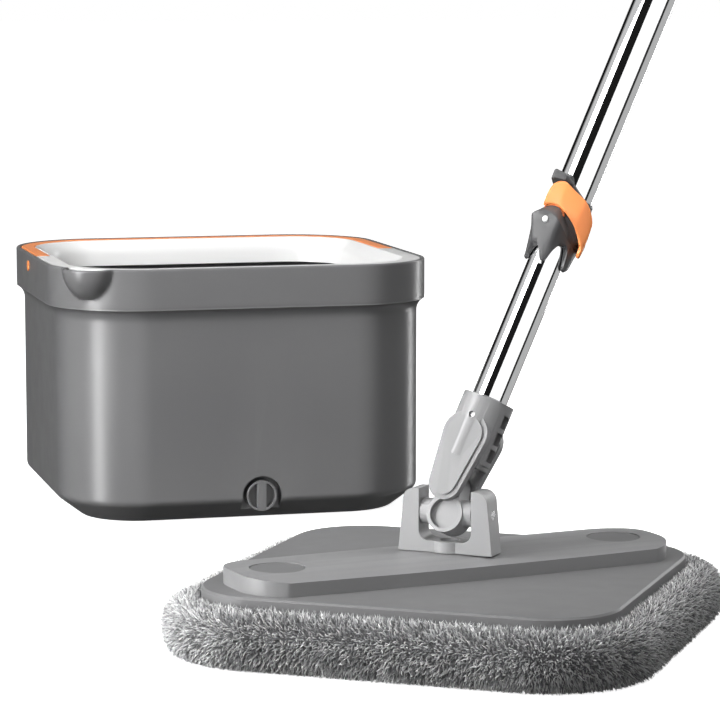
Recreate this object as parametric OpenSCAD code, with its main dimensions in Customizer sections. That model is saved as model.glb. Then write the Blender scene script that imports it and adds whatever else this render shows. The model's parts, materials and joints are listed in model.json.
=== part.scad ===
// Spin mop with its spin bucket: a rounded-square bucket with basin, bail handle, turntable and
// drain plug, and a flat mop whose pole leans on a swivelling universal joint.
// Millimetres, +Z up. The origin is the middle of the bucket's base, +X along its length.

/* [Bucket] */
// Length of the bucket at its rim
bucket_l = 287; // [270:1:300]
// Depth of the bucket at its rim
bucket_d = 280; // [265:1:295]
// Height of the bucket
bucket_h = 188; // [185:1:210]
// Corner radius of the rim in plan
corner_r = 68; // [64:1:74]
// Height of the wide band under the rim
band_h = 30; // [28:1:32]
// How far the wall below the band steps in
band_step = 6; // [5:0.5:6]
// Height of the sloping edge round the base
chamfer_h = 15; // [12:1:16]
// How far the sloping edge runs in
chamfer_in = 20; // [16:1:22]
// Wall thickness of the bucket
wall = 2.6; // [2.2:0.1:2.8]

/* [Bail handle] */
// Width of the handle's flat bar
bail_w = 10.4; // [9:0.2:10.4]
// Thickness of the handle's flat bar
bail_t = 7.6; // [6:0.2:7.6]
// Distance of the handle's pivot behind the middle of the bucket
bail_pivot_y = 13; // [11:1:15]

/* [Turntable] */
// Radius of the turntable
table_r = 104; // [90:1:106]
// Height of the turntable's top face
table_z = 36; // [34:1:44]
// Radius of the steel spindle
spindle_r = 4; // [3.5:0.5:4]

/* [Drain] */
// Radius of the drain plug's head
plug_r = 11.5; // [10:0.5:12]
// Radius of the plug's stem
stem_r = 6.92; // [5:0.02:7]
// Height of the plug's centre above the base
plug_z = 18.5; // [18:0.5:20]

/* [Mop head] */
// Length of the head plate
plate_l = 254; // [240:1:260]
// Width of the head plate
plate_w = 248; // [236:1:256]
// Corner radius of the head plate
plate_corner_r = 45; // [40:1:50]
// Height of the plate's top face above the floor
plate_top = 40; // [39:1:42]
// How far the pad stands out beyond the plate
pad_overhang = 24; // [18:1:26]
// Height of the pad's rolled edge
pad_h = 35; // [34:1:36]
// Length of the diagonal bar
bar_l = 286; // [276:1:290]
// Width of the diagonal bar at its middle
bar_w = 82; // [78:1:84]
// Height of the bar's side wall
bar_t = 8; // [7:0.5:8]

/* [Joint] */
// Angle that the cross block leans back in its yoke at rest
lean_back = 19.6; // [0:0.2:25]
// Angle that the pole leans sideways on the cross block at rest
lean_side = 16.05; // [0:0.05:20]
// Height of the ear pin above the floor
pivot_z = 74.4; // [73:0.2:76]
// Distance from the ear pin up to the roll pin
roll_rise = 16; // [15:0.5:18]

/* [Pole] */
// Radius of the lower tube
lower_r = 11; // [10.5:0.5:11]
// Radius of the upper tube
upper_r = 12.5; // [12.5:0.5:13]
// Wall thickness of both tubes
tube_wall = 0.5; // [0.4:0.1:0.6]
// Length of the lower tube
lower_len = 560; // [520:10:580]
// Length of the upper tube
upper_len = 720; // [700:10:740]
// Length of lower tube that shows between the socket and the lock collar at rest
tube_gap = 89; // [86:1:105]
// Length of one full turn of the twisted spindle
spindle_pitch = 180; // [160:5:220]

/* [Hidden] */
$fn = 64;
HULL_FN = 32;
fit = 0.06;          // running clearance on a radius
gap = 0.4;           // clearance between bodies that pass each other
eps = 0.01;          // overshoot of a cutting shape

// bucket: distances called "out" are measured outwards from the centre of a corner's arc
rim_t = 3;
cove_h = 10;
wall_out = corner_r - band_step;
band_z = bucket_h - band_h;
cove_r = (band_step * band_step + cove_h * cove_h) / (2 * band_step);
cove_angle = asin(cove_h / cove_r);
floor_t = 3;
corner_x = bucket_l / 2 - corner_r;
corner_y = bucket_d / 2 - corner_r;
front_y = -(corner_y + wall_out);
spout_angle = 227;
spout_out = 61;
spout_r = 19.5;
spout_drop = 25;
spout_wall = 2.4;
pocket_r = 14.75;
pocket_depth = 9.5;
pocket_y = front_y + pocket_depth;
pocket_wall = 2.6;
pocket_foot = 12;         // how far in the sloping edge lets the pocket's wall reach down to the floor
plug_x = 5;
port_r = stem_r + 0.08;
port_len = 14;
stem_len = 12;
boss_r = 13;
boss_top = 20;
base_pad_r = 10;
base_pad_t = 1.4;
base_pad_x = 92;
base_pad_y = 88;

// bail handle and the channel that it lies in
bail_out = corner_r - rim_t - 0.8;
bail_top = bucket_h - 0.3;
bail_low = bail_top - bail_t;
bail_pivot_z = bail_low - 1.5;
bail_end_y = bail_pivot_y - 17;
bail_hub_r = 7;
pin_r = 2.5;
pin_head_r = 4;
pin_head_t = 0.8;
channel_out = bail_out - bail_w - gap;
channel_floor = bail_low - gap;
slot_end_y = bail_pivot_y + 26;

// basin
basin_out = corner_r - rim_t - gap;
basin_top = bucket_h - 0.6;
basin_t = 2;
lip_r = 6;
bowl_low_z = bucket_h - 26;
bowl_low_out = channel_out - 12;

// turntable
rib_h = 4;
table_t = 3;
hub_r = 14;
bush_r = 7;
hub_top = table_z + 9;
spindle_low = 6;

// mop head
head_x = 29;
head_y = -538;
plate_yaw = -33.7;
bar_yaw = 11.1;
yoke_yaw = -39;
plate_t = 3;
skirt_h = 9;
skirt_t = 2.5;
plate_low = plate_top - skirt_h;
strip_t = 1;
strip_w = 25;
pad_recess_z = plate_low - strip_t - 0.3;
pad_round = 12;
bar_crown = 2.5;
bar_corner_r = 33;
bar_bulge_r = 2880;
bar_shell = 2.5;
bar_top = plate_top + bar_t + bar_crown;
crown_r = (bar_w * bar_w / 4 + bar_crown * bar_crown) / (2 * bar_crown);
disc_s = 114.7;
disc_r = 16.5;
disc_t = 1.6;
disc_sink = 0.5;
bar_screw_s = [-70, 70];
bar_screw_n = [-18, 18];
spigot_r = 8;
swivel_washer_r = 13;
swivel_bolt_r = 2.5;
plate_hole_r = 16;

// yoke
yoke_low = bar_top + 0.2;
yoke_base_w = 61;
yoke_top_w = 55;
yoke_gap = 34;
yoke_depth = 16;
yoke_floor_t = 7;
yoke_slot_r = 6;
yoke_boss_r = 10.5;
yoke_recess_r = 6;
ear_top = 89;
ear_round = 7;
ear_pin_r = 3;

// cross block
barrel_r = 11.5;
barrel_drop = 2;
recess_r = 9.2;
recess_depth = 3.5;
side_barrel_r = 8;
block_half_y = 8.5;
lug_r = 8;
roll_pin_r = 2.5;

// socket: heights are measured up the pole from the roll pin
shield_in = block_half_y + gap;
shield_t = 5.5;
shield_low_r = 10.5;
shield_top_r = 14.5;
shield_top_z = 31.5;
shield_raise = 1.2;
socket_r = 16;
socket_low = 15;
socket_top = 57;
socket_floor = 18;
tube_low = socket_floor + 0.2;
rivet_z = 44;
rivet_r = 2;

// lock collar: heights are measured up from its lower edge
collar_z = socket_top + tube_gap;
collar_r = 14;
skirt_r = 15;
skirt_top = 12;
liner_r = 12.6;
liner_low = 14;
liner_top = 24;
liner_tab_w = 4.4;
liner_tab_low = -1.5;
collar_step = 28;
lever_pin_z = 23.3;
lever_pin_r = 2;
nose_y = 25;               // front of the bracket that carries the front pin
bracket_in = 18.3;
rear_bracket_y = 20.9;
bracket_round_r = 10.5;
bracket_foot_r = 4;
bracket_foot_x = 11.5;
plate_in = 15.4;           // the lever's cheeks, between the collar's core and the brackets
lever_t = 2.6;
plate_out = plate_in + lever_t;
band_out = 20.5;           // the lever's band, which shows above the bracket
band_inner_r = 11.3;
band_top_r = 25.5;
ring_under_r = 26;
web_top_z = 22;
web_low_z = 9.6;
ring_nose_y = 24;
// tops of the collar, high on the left and low on the right, in X and Z
collar_top_edge = [[-20, 58], [-8, 58], [-2, 56.5], [4, 52.5], [9, 47.5], [13, 44], [20, 43]];
// plan of the lever's band: along the front, round the right side and along the back
lever_band = [[-9.5, -20.5], [4, -20.5], [22, -15.4], [19.6, -6], [18, 4], [13, 13.5], [4.5, 18], [-8, 18],
              [-8, 15.4], [4, 15.4], [11.5, 11.8], [15.6, 4], [17, -6], [19.3, -12.8], [3.4, -17.9], [-9.5, -17.9]];

// telescoping and spin drive
upper_low = collar_z + collar_step;
lower_top = tube_low + lower_len;
bush_flange_t = 12;
bush_spigot = 12;
nut_r = 7.9;
nut_len = 15;
nut_low = lower_top - 8;
nut_lip_r = 6;
spindle_w = 7;
spindle_t = 2.2;
slot_play = 0.5;
spindle_bottom = 262;
spindle_top = 850;
spindle_slices = 96;
nut_slices = 4;
plug_len = 20;
plug_low = spindle_top - plug_len + 6;
grip_len = 130;
grip_r = 15.5;
upper_end = upper_low + upper_len;
grip_low = upper_end - grip_len;
cap_r = 14.5;
cap_len = 14;
eye_r = 6;
eye_ring_r = 13;
eye_t = 9;
eye_z = upper_end + cap_len + eye_t;

tub_grey = [0.45, 0.45, 0.46];
dark_grey = [0.28, 0.28, 0.29];
light_grey = [0.66, 0.66, 0.67];
orange = [0.98, 0.55, 0.25];
steel = [0.8, 0.81, 0.83];
white = [0.95, 0.95, 0.94];

// ---- shared shapes ----

// Points along an arc round [cx, cy]
function arc(cx, cy, r, a0, a1, n = 8) =
    [for (i = [0 : n]) let (a = a0 + (a1 - a0) * i / n) [cx + r * cos(a), cy + r * sin(a)]];

// Filled rounded rectangle with true arcs
module rounded_rect(l, d, r) {
    square([l - 2 * r, d], center = true);
    square([l, d - 2 * r], center = true);
    for (x = [-1, 1], y = [-1, 1])
        translate([x * (l / 2 - r), y * (d / 2 - r)]) circle(r);
}

// Sweeps a profile (x = outwards from the corner arc's centre, y = height) round a rounded rectangle
module rim_sweep(cx, cy) {
    for (i = [0 : 3])
        translate([cx * (i == 0 || i == 3 ? 1 : -1), cy * (i < 2 ? 1 : -1), 0])
            rotate([0, 0, 90 * i]) rotate_extrude(angle = 90) children();
    for (m = [0, 1])
        mirror([m, 0, 0]) translate([cx, cy, 0]) rotate([90, 0, 0]) linear_extrude(2 * cy) children();
    for (m = [0, 1])
        mirror([0, m, 0]) translate([-cx, cy, 0]) rotate([90, 0, 90]) linear_extrude(2 * cx) children();
}

module block(x0, x1, y0, y1, z0, z1) {
    translate([x0, y0, z0]) cube([x1 - x0, y1 - y0, z1 - z0]);
}

module tube(r_out, r_in, z0, z1) {
    difference() {
        translate([0, 0, z0]) cylinder(r = r_out, h = z1 - z0);
        translate([0, 0, z0 - 1]) cylinder(r = r_in, h = z1 - z0 + 2);
    }
}

module rod(r, z0, z1) {
    translate([0, 0, z0]) cylinder(r = r, h = z1 - z0);
}

// Cylinder along Y from y0 to y1
module rod_y(r, y0, y1) {
    translate([0, y1, 0]) rotate([90, 0, 0]) cylinder(r = r, h = y1 - y0);
}

// Cylinder along X from x0 to x1
module rod_x(r, x0, x1) {
    translate([x0, 0, 0]) rotate([0, 90, 0]) cylinder(r = r, h = x1 - x0);
}

// ---- places ----

module at_plate() { translate([head_x, head_y, 0]) rotate([0, 0, plate_yaw]) children(); }
module at_bar() { translate([head_x, head_y, 0]) rotate([0, 0, bar_yaw]) children(); }
module at_yoke() { translate([head_x, head_y, 0]) rotate([0, 0, yoke_yaw]) children(); }
module at_cross() { at_yoke() translate([0, 0, pivot_z]) rotate([-lean_back, 0, 0]) children(); }
module at_pole() { at_cross() translate([0, 0, roll_rise]) rotate([0, lean_side, 0]) children(); }
module at_collar() { at_pole() translate([0, 0, collar_z]) children(); }

// ---- bucket ----

module tub_shell() {
    rim_sweep(corner_x, corner_y) polygon(concat(
        [[0, 0], [wall_out - chamfer_in, 0], [wall_out, chamfer_h]],
        [for (i = [0 : 6]) let (a = cove_angle * i / 6)
            [wall_out + cove_r * (1 - cos(a)), band_z - cove_h + cove_r * sin(a)]],
        [[corner_r, band_z + 0.8], [corner_r, bucket_h - 0.8], [corner_r - 0.8, bucket_h],
         [corner_r - rim_t, bucket_h], [corner_r - rim_t, band_z + 2],
         [wall_out - wall, band_z - cove_h], [wall_out - wall, chamfer_h + 1],
         [wall_out - chamfer_in - 1, floor_t], [0, floor_t]]));
    block(-corner_x, corner_x, -corner_y, corner_y, 0, floor_t);
}

// Solid of revolution shaped like a half dome that hangs from the rim
module dome(r, drop) {
    translate([0, 0, bucket_h])
        rotate_extrude() polygon(concat([[0, 0]],
            [for (i = [0 : 10]) let (a = 90 * i / 10) [r * cos(a), -drop * sin(a)]]));
}

module at_spout() {
    translate([-corner_x + spout_out * cos(spout_angle), -corner_y + spout_out * sin(spout_angle), 0])
        children();
}

module tub() {
    color(tub_grey) difference() {
        union() {
            tub_shell();
            difference() {
                at_spout() dome(spout_r, spout_drop);
                translate([0, 0, band_z - cove_h]) linear_extrude(band_h + cove_h + 1)
                    rounded_rect(bucket_l - 2 * rim_t, bucket_d - 2 * rim_t, corner_r - rim_t);
            }
            rod(boss_r, eps, boss_top);
            translate([plug_x, 0, plug_z]) {
                rod_y(pocket_r + pocket_wall, front_y + 1, pocket_y + pocket_wall);
                rod_y(port_r + 3, pocket_y, pocket_y + port_len);
            }
            block(plug_x - pocket_r - pocket_wall, plug_x + pocket_r + pocket_wall,
                  front_y + pocket_foot, pocket_y + pocket_wall, eps, plug_z);
            block(plug_x - pocket_r - pocket_wall, plug_x + pocket_r + pocket_wall,
                  front_y + 1, front_y + pocket_foot + eps, chamfer_h - floor_t, plug_z);
        }
        at_spout() translate([0, 0, eps]) dome(spout_r - spout_wall, spout_drop - spout_wall);
        rod(spindle_r, spindle_low, boss_top + 1);
        translate([plug_x, 0, plug_z]) {
            rod_y(pocket_r, front_y - 2, pocket_y);
            rod_y(port_r, pocket_y - 1, pocket_y + port_len + 1);
        }
        block(plug_x - pocket_r, plug_x + pocket_r, front_y - 2, pocket_y, -1, plug_z);
        for (x = [-1, 1], y = [-1, 1])
            translate([x * base_pad_x, y * base_pad_y, 0]) rod(base_pad_r, -1, base_pad_t);
        translate([0, bail_pivot_y, bail_pivot_z]) rod_x(pin_r, -bucket_l, bucket_l);
    }
}

module basin_front_profile() {
    polygon([[basin_out, basin_top - basin_t], [basin_out, basin_top - 0.4], [basin_out - 0.4, basin_top],
             [channel_out - basin_t, basin_top], [channel_out - basin_t - lip_r * 0.6, basin_top - 1.6],
             [channel_out - basin_t - lip_r, basin_top - lip_r], [bowl_low_out, bowl_low_z],
             [bowl_low_out + basin_t, bowl_low_z], [channel_out - lip_r, basin_top - lip_r],
             [channel_out, basin_top - basin_t]]);
}

module basin_back_profile() {
    polygon([[channel_out, channel_floor - basin_t], [basin_out, channel_floor - basin_t],
             [basin_out, channel_floor], [channel_out, channel_floor], [channel_out, basin_top - 0.4],
             [channel_out - 0.4, basin_top], [channel_out - basin_t, basin_top],
             [channel_out - basin_t - lip_r * 0.6, basin_top - 1.6],
             [channel_out - basin_t - lip_r, basin_top - lip_r], [bowl_low_out, bowl_low_z],
             [bowl_low_out + basin_t, bowl_low_z], [channel_out - lip_r, basin_top - lip_r]]);
}

module basin() {
    split_y = bail_end_y - gap;
    slot_x = corner_x + channel_out;
    color(white) difference() {
        union() {
            intersection() {
                rim_sweep(corner_x, corner_y) basin_front_profile();
                block(-bucket_l, bucket_l, -bucket_d, split_y, 0, bucket_h + 1);
            }
            intersection() {
                rim_sweep(corner_x, corner_y) basin_back_profile();
                block(-bucket_l, bucket_l, split_y - basin_t, bucket_d, 0, bucket_h + 1);
            }
        }
        for (m = [0, 1])
            mirror([m, 0, 0])
                block(slot_x, bucket_l, split_y, slot_end_y, channel_floor - basin_t - 1, bucket_h + 2);
    }
}

module spindle() {
    color(steel) rod(spindle_r, spindle_low, hub_top + 1.8);
}

module spindle_washer() {
    color(steel) tube(9, spindle_r, boss_top, boss_top + 1);
}

module spindle_clip() {
    color(steel) tube(6.4, spindle_r, hub_top + 0.3, hub_top + 1.3);
}

module base_pads() {
    color(dark_grey)
        for (x = [-1, 1], y = [-1, 1])
            translate([x * base_pad_x, y * base_pad_y, 0]) rod(base_pad_r, 0, base_pad_t);
}

module handle_pins() {
    pin_in = corner_x + bail_out - bail_w + 1;
    color(orange)
        for (m = [0, 1])
            mirror([m, 0, 0]) translate([0, bail_pivot_y, bail_pivot_z]) {
                rod_x(pin_r, pin_in, bucket_l / 2);
                rod_x(pin_head_r, bucket_l / 2, bucket_l / 2 + pin_head_t);
            }
}

module bail_handle() {
    inner = bail_out - bail_w;
    color(orange) difference() {
        union() {
            intersection() {
                rim_sweep(corner_x, corner_y)
                    polygon([[inner, bail_low], [bail_out, bail_low], [bail_out, bail_top - 0.8],
                             [bail_out - 0.8, bail_top], [inner + 0.8, bail_top], [inner, bail_top - 0.8]]);
                block(-bucket_l, bucket_l, bail_end_y, bucket_d, bail_low, bucket_h);
            }
            for (m = [0, 1])
                mirror([m, 0, 0]) translate([0, bail_pivot_y, bail_pivot_z])
                    rod_x(bail_hub_r, corner_x + inner, corner_x + bail_out);
        }
        translate([0, bail_pivot_y, bail_pivot_z]) rod_x(pin_r + fit, -bucket_l, bucket_l);
        // the ends are round about the pivot, so that they swing down past the basin
        difference() {
            block(-bucket_l, bucket_l, -bucket_d, bail_pivot_y - 1, 0, bucket_h);
            translate([0, bail_pivot_y, bail_pivot_z]) rod_x(bail_pivot_y - bail_end_y, -bucket_l, bucket_l);
        }
        block(-bucket_l, bucket_l, -bucket_d, bucket_d, bail_top, bucket_h + 5);
    }
}

module turntable() {
    table_low = table_z - table_t;
    color(light_grey) difference() {
        union() {
            rod(table_r, table_low, table_z);
            tube(table_r, table_r - 2.5, table_z - eps, table_z + rib_h + 1);
            rod(hub_r, boss_top + 1.2, hub_top);
            for (a = [0 : 30 : 330])
                rotate([0, 0, a]) block(hub_r - 1, table_r - 2, -0.9, 0.9, table_z - eps, table_z + rib_h);
            tube(62, 60, table_z - eps, table_z + rib_h);
        }
        rod(bush_r, boss_top, hub_top + 1);
        for (a = [15 : 30 : 345], d = [38, 84])
            rotate([0, 0, a]) translate([d, 0, 0]) rod(5, table_low - 1, table_z + 1);
    }
}

module hub_bush() {
    color(white) tube(bush_r, spindle_r + fit, boss_top + 1.2, hub_top);
}

module hub_cap() {
    color(orange) difference() {
        rod(hub_r, hub_top, hub_top + 5);
        rod(9, hub_top - 1, hub_top + 3);
    }
}

module drain_gasket() {
    color(dark_grey) translate([plug_x, 0, plug_z]) difference() {
        rod_y(9.8, pocket_y - 2.4, pocket_y);
        rod_y(stem_r + 0.3, pocket_y - 5, pocket_y + 1);
    }
}

module drain_plug() {
    face_y = front_y + 0.6;
    head_back = pocket_y - 2.4;
    color(tub_grey) translate([plug_x, 0, plug_z]) difference() {
        union() {
            rod_y(plug_r, face_y, head_back);
            rod_y(stem_r, head_back - 1, pocket_y + stem_len);
        }
        for (m = [0, 1])
            mirror([m, 0, 0]) intersection() {
                rod_y(plug_r - 1.8, face_y - 1, head_back - 1.8);
                block(3.6, plug_r, face_y - 1, head_back - 1.8, -plug_r, plug_r);
            }
    }
}

// ---- mop head ----

module mop_pad() {
    cx = plate_l / 2 - plate_corner_r;
    cy = plate_w / 2 - plate_corner_r;
    out = plate_corner_r + pad_overhang;
    lip = plate_corner_r + 0.5;
    color([0.62, 0.62, 0.63]) at_plate() {
        rim_sweep(cx, cy) polygon(concat([[0, 0]],
            arc(out - pad_round, pad_round, pad_round, -90, 0),
            arc(out - pad_round, pad_h - pad_round, pad_round, 0, 90),
            [[lip + 2, pad_h], [lip, pad_h - 2], [lip, pad_recess_z], [0, pad_recess_z]]));
        block(-cx, cx, -cy, cy, 0, pad_recess_z);
    }
}

module hook_strips() {
    reach = plate_w * 0.36;
    color(dark_grey) at_plate()
        for (a = [0 : 90 : 270])
            rotate([0, 0, a])
                block(-reach * 0.7, reach * 0.7, reach, reach + strip_w, plate_low - strip_t, plate_low);
}

module head_plate() {
    cx = plate_l / 2 - plate_corner_r;
    cy = plate_w / 2 - plate_corner_r;
    r = plate_corner_r;
    color(tub_grey) at_plate() difference() {
        union() {
            rim_sweep(cx, cy) polygon([
                [0, plate_top - plate_t], [r - skirt_t, plate_top - plate_t], [r - skirt_t, plate_low],
                [r, plate_low], [r, plate_top - 1.2], [r - 1.2, plate_top], [0, plate_top]]);
            block(-cx, cx, -cy, cy, plate_top - plate_t, plate_top);
            for (x = [-2 : 2])
                block(x * 42 - 1, x * 42 + 1, -plate_w / 2 + 1, plate_w / 2 - 1, plate_low, plate_top - 1);
            for (y = [-2 : 2])
                block(-plate_l / 2 + 1, plate_l / 2 - 1, y * 42 - 1, y * 42 + 1, plate_low, plate_top - 1);
            for (a = [0 : 90 : 270])
                rotate([0, 0, a]) block(-62, 62, plate_w * 0.36, plate_w * 0.36 + strip_w, plate_low, plate_low + 2);
            rod(plate_hole_r + 3, plate_low, plate_top - 1);
        }
        rod(plate_hole_r, plate_low - 1, plate_top + 1);
        rotate([0, 0, bar_yaw - plate_yaw])
            for (s = bar_screw_s, n = bar_screw_n)
                translate([s, n, 0]) rod(2.2, plate_low - 1, plate_top + 1);
    }
}

module bar_outline(inset) {
    intersection() {
        rounded_rect(bar_l - 2 * inset, bar_w - 2 * inset, bar_corner_r - inset);
        translate([0, bar_bulge_r - bar_w / 2 + inset]) circle(bar_bulge_r, $fn = 360);
        translate([0, bar_w / 2 - bar_bulge_r - inset]) circle(bar_bulge_r, $fn = 360);
    }
}

module head_bar() {
    color(light_grey) at_bar() difference() {
        intersection() {
            translate([0, 0, plate_top]) linear_extrude(bar_t + bar_crown + 1) bar_outline(0);
            translate([0, 0, bar_top - crown_r]) rod_x(crown_r, -bar_l, bar_l, $fn = 256);
        }
        difference() {
            translate([0, 0, plate_top - 1]) linear_extrude(1 + bar_t - bar_shell) bar_outline(bar_shell);
            rod(spigot_r + 8, plate_top - 2, bar_top);
            for (s = [-1, 1]) translate([s * disc_s, 0, 0]) rod(disc_r + 2, plate_top - 2, bar_top);
            for (s = bar_screw_s, n = bar_screw_n) translate([s, n, 0]) rod(5, plate_top - 2, bar_top);
            for (s = [-90, -45, 45, 90]) block(s - 1, s + 1, -bar_w, bar_w, plate_top - 2, bar_top);
            block(-bar_l, bar_l, -1, 1, plate_top - 2, bar_top);
        }
        rod(spigot_r + fit, plate_top - 2, bar_top + 1);
        for (s = [-1, 1]) translate([s * disc_s, 0, 0]) rod(disc_r + 0.3, bar_top - disc_t - disc_sink, bar_top + 1);
        for (s = bar_screw_s, n = bar_screw_n) translate([s, n, 0]) rod(1.6, plate_top - 2, plate_top + 6);
    }
}

module bar_screws() {
    color(steel) at_bar()
        for (s = bar_screw_s, n = bar_screw_n)
            translate([s, n, 0]) {
                rod(1.6, plate_top - plate_t - 0.1, plate_top + 5.5);
                rod(3.6, plate_top - plate_t - 2.3, plate_top - plate_t);
            }
}

module disc_caps() {
    cap_z = bar_top - disc_t - disc_sink;
    color(tub_grey) at_bar()
        for (s = [-1, 1]) translate([s * disc_s, 0, 0]) rod(disc_r, cap_z, cap_z + disc_t);
}

// ---- universal joint ----

module yoke_outline() {
    difference() {
        union() {
            polygon([[-yoke_base_w / 2, 0], [yoke_base_w / 2, 0], [yoke_top_w / 2, ear_top - yoke_low - ear_round],
                     [yoke_top_w / 2 - ear_round, ear_top - yoke_low],
                     [ear_round - yoke_top_w / 2, ear_top - yoke_low],
                     [-yoke_top_w / 2, ear_top - yoke_low - ear_round]]);
            for (x = [-1, 1])
                translate([x * (yoke_top_w / 2 - ear_round), ear_top - yoke_low - ear_round]) circle(ear_round);
        }
        hull() {
            for (x = [-1, 1]) translate([x * (yoke_gap / 2 - yoke_slot_r), yoke_floor_t + yoke_slot_r]) circle(yoke_slot_r);
            translate([-yoke_gap / 2, ear_top]) square([yoke_gap, 1]);
        }
    }
}

module yoke() {
    color(light_grey) at_yoke() difference() {
        union() {
            translate([0, yoke_depth / 2, yoke_low]) rotate([90, 0, 0]) linear_extrude(yoke_depth) yoke_outline();
            rod(yoke_boss_r, yoke_low, yoke_low + yoke_floor_t);
            rod(spigot_r, plate_top - 0.2, yoke_low + 1);
        }
        rod(yoke_recess_r, yoke_low + 3, yoke_low + yoke_floor_t + 1);
        rod(swivel_bolt_r, plate_top - 2, yoke_low + 2);
        translate([0, 0, pivot_z]) rod_x(ear_pin_r, -yoke_base_w, yoke_base_w);
    }
}

module ear_pin() {
    half = yoke_top_w / 2 + 0.8;
    color(steel) at_yoke() translate([0, 0, pivot_z]) rod_x(ear_pin_r, -half, half);
}

module swivel_washer() {
    color(steel) at_yoke() tube(swivel_washer_r, swivel_bolt_r, plate_top - 1.8, plate_top - 0.2);
}

module swivel_screw() {
    color(steel) at_yoke() {
        rod(swivel_bolt_r, plate_top - 2, yoke_low + 1);
        rod(5, plate_top - 5, plate_top - 1.8);
    }
}

module cross_block() {
    color(light_grey) at_cross() difference() {
        union() {
            translate([0, 0, -barrel_drop]) rod_y(barrel_r, -block_half_y, block_half_y);
            rod_x(side_barrel_r, gap - yoke_gap / 2, yoke_gap / 2 - gap);
            block(-lug_r, lug_r, -block_half_y, block_half_y, 0, roll_rise);
            translate([0, 0, roll_rise]) rod_y(lug_r, -block_half_y, block_half_y);
        }
        rod_x(ear_pin_r + fit, -yoke_gap, yoke_gap);
        translate([0, 0, roll_rise]) rod_y(roll_pin_r, -2 * block_half_y, 2 * block_half_y);
        for (m = [0, 1])
            mirror([0, m, 0]) translate([0, 0, -barrel_drop])
                rod_y(recess_r, block_half_y - recess_depth, 2 * block_half_y);
    }
}

module roll_pin() {
    half = shield_in + shield_t - 1;
    color(steel) at_cross() translate([0, 0, roll_rise]) rod_y(roll_pin_r, -half, half);
}

module shield_outline(inset) {
    hull() {
        circle(shield_low_r - inset, $fn = HULL_FN);
        translate([0, shield_top_z]) circle(shield_top_r - inset, $fn = HULL_FN);
    }
}

module pole_socket() {
    color(tub_grey) at_pole() difference() {
        union() {
            for (m = [0, 1])
                mirror([0, m, 0]) translate([0, -shield_in, 0]) rotate([90, 0, 0]) {
                    linear_extrude(shield_t) shield_outline(0);
                    translate([0, 0, shield_t - eps]) linear_extrude(shield_raise) shield_outline(3);
                }
            rod(socket_r, socket_low + 3, socket_top);
            block(-shield_top_r + 1, shield_top_r - 1, -shield_in - 1, shield_in + 1, socket_low, shield_top_z);
        }
        rod(lower_r, socket_floor, socket_top + 1);
        rod_y(roll_pin_r + fit, -shield_in - shield_t + 1, shield_in + shield_t - 1);
        translate([0, 0, rivet_z]) rod_y(rivet_r, -2 * socket_r, 2 * socket_r);
        for (m = [0, 1], z = [socket_low + 6, socket_low + 17, socket_low + 28])
            mirror([m, 0, 0]) block(lower_r + 1.2, 2 * socket_r, -4.5, 4.5, z, z + 8);
    }
}

module socket_rivet() {
    half = shield_in + shield_t;
    color(steel) at_pole() translate([0, 0, rivet_z]) rod_y(rivet_r, -half, half);
}

// ---- pole ----

module lower_tube() {
    color(steel) at_pole() difference() {
        tube(lower_r, lower_r - tube_wall, tube_low, lower_top);
        translate([0, 0, rivet_z]) rod_y(rivet_r, -2 * lower_r, 2 * lower_r);
    }
}

module guide_bush() {
    bush_out = upper_r - tube_wall - fit;
    color(white) at_pole() difference() {
        union() {
            rod(bush_out, lower_top, lower_top + bush_flange_t);
            rod(lower_r - tube_wall, lower_top - bush_spigot, lower_top + eps);
        }
        rod(nut_lip_r, lower_top - bush_spigot - 1, lower_top + bush_flange_t + 1);
        rod(nut_r + fit, nut_low - 0.1, lower_top + bush_flange_t + 1);
    }
}

module nut_cap() {
    color(white) at_pole() tube(nut_r + fit, nut_lip_r, nut_low + nut_len + 0.1, lower_top + bush_flange_t);
}

module twisted_bar(w, t, z0, z1, slices) {
    translate([0, 0, z0]) rotate([0, 0, 360 * z0 / spindle_pitch])
        linear_extrude(z1 - z0, twist = -360 * (z1 - z0) / spindle_pitch, slices = slices, $fn = 8)
            square([w, t], center = true);
}

module drive_nut() {
    color(orange) at_pole() difference() {
        rod(nut_r, nut_low, nut_low + nut_len);
        twisted_bar(spindle_w + slot_play, spindle_t + slot_play, nut_low - 1, nut_low + nut_len + 1, nut_slices);
    }
}

module twisted_spindle() {
    color(steel) at_pole() twisted_bar(spindle_w, spindle_t, spindle_bottom, spindle_top, spindle_slices);
}

module spindle_plug() {
    color(white) at_pole() difference() {
        rod(upper_r - tube_wall, plug_low, plug_low + plug_len);
        twisted_bar(spindle_w, spindle_t, plug_low - 1, spindle_top, nut_slices);
    }
}

module upper_tube() {
    color(steel) at_pole() tube(upper_r, upper_r - tube_wall, upper_low, upper_end);
}

module grip_sleeve() {
    color(tub_grey) at_pole() difference() {
        rod(grip_r, grip_low, upper_end);
        rod(upper_r, grip_low - 1, upper_end + 1);
        for (z = [grip_low + 14 : 9 : upper_end - 14])
            translate([0, 0, z]) tube(grip_r + 1, grip_r - 0.7, 0, 3);
    }
}

module end_cap() {
    color(orange) at_pole() difference() {
        union() {
            rod(cap_r, upper_end, upper_end + cap_len);
            rod(upper_r - tube_wall, upper_end - 15, upper_end + eps);
            translate([0, 0, eye_z]) rod_y(eye_ring_r, -eye_t / 2, eye_t / 2);
        }
        translate([0, 0, eye_z]) rod_y(eye_r, -eye_t, eye_t);
    }
}

// ---- lock collar ----

// Extrudes an outline drawn in X and Z from y0 to y1
module across(y0, y1) {
    translate([0, y1, 0]) rotate([90, 0, 0]) linear_extrude(y1 - y0) children();
}

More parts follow.
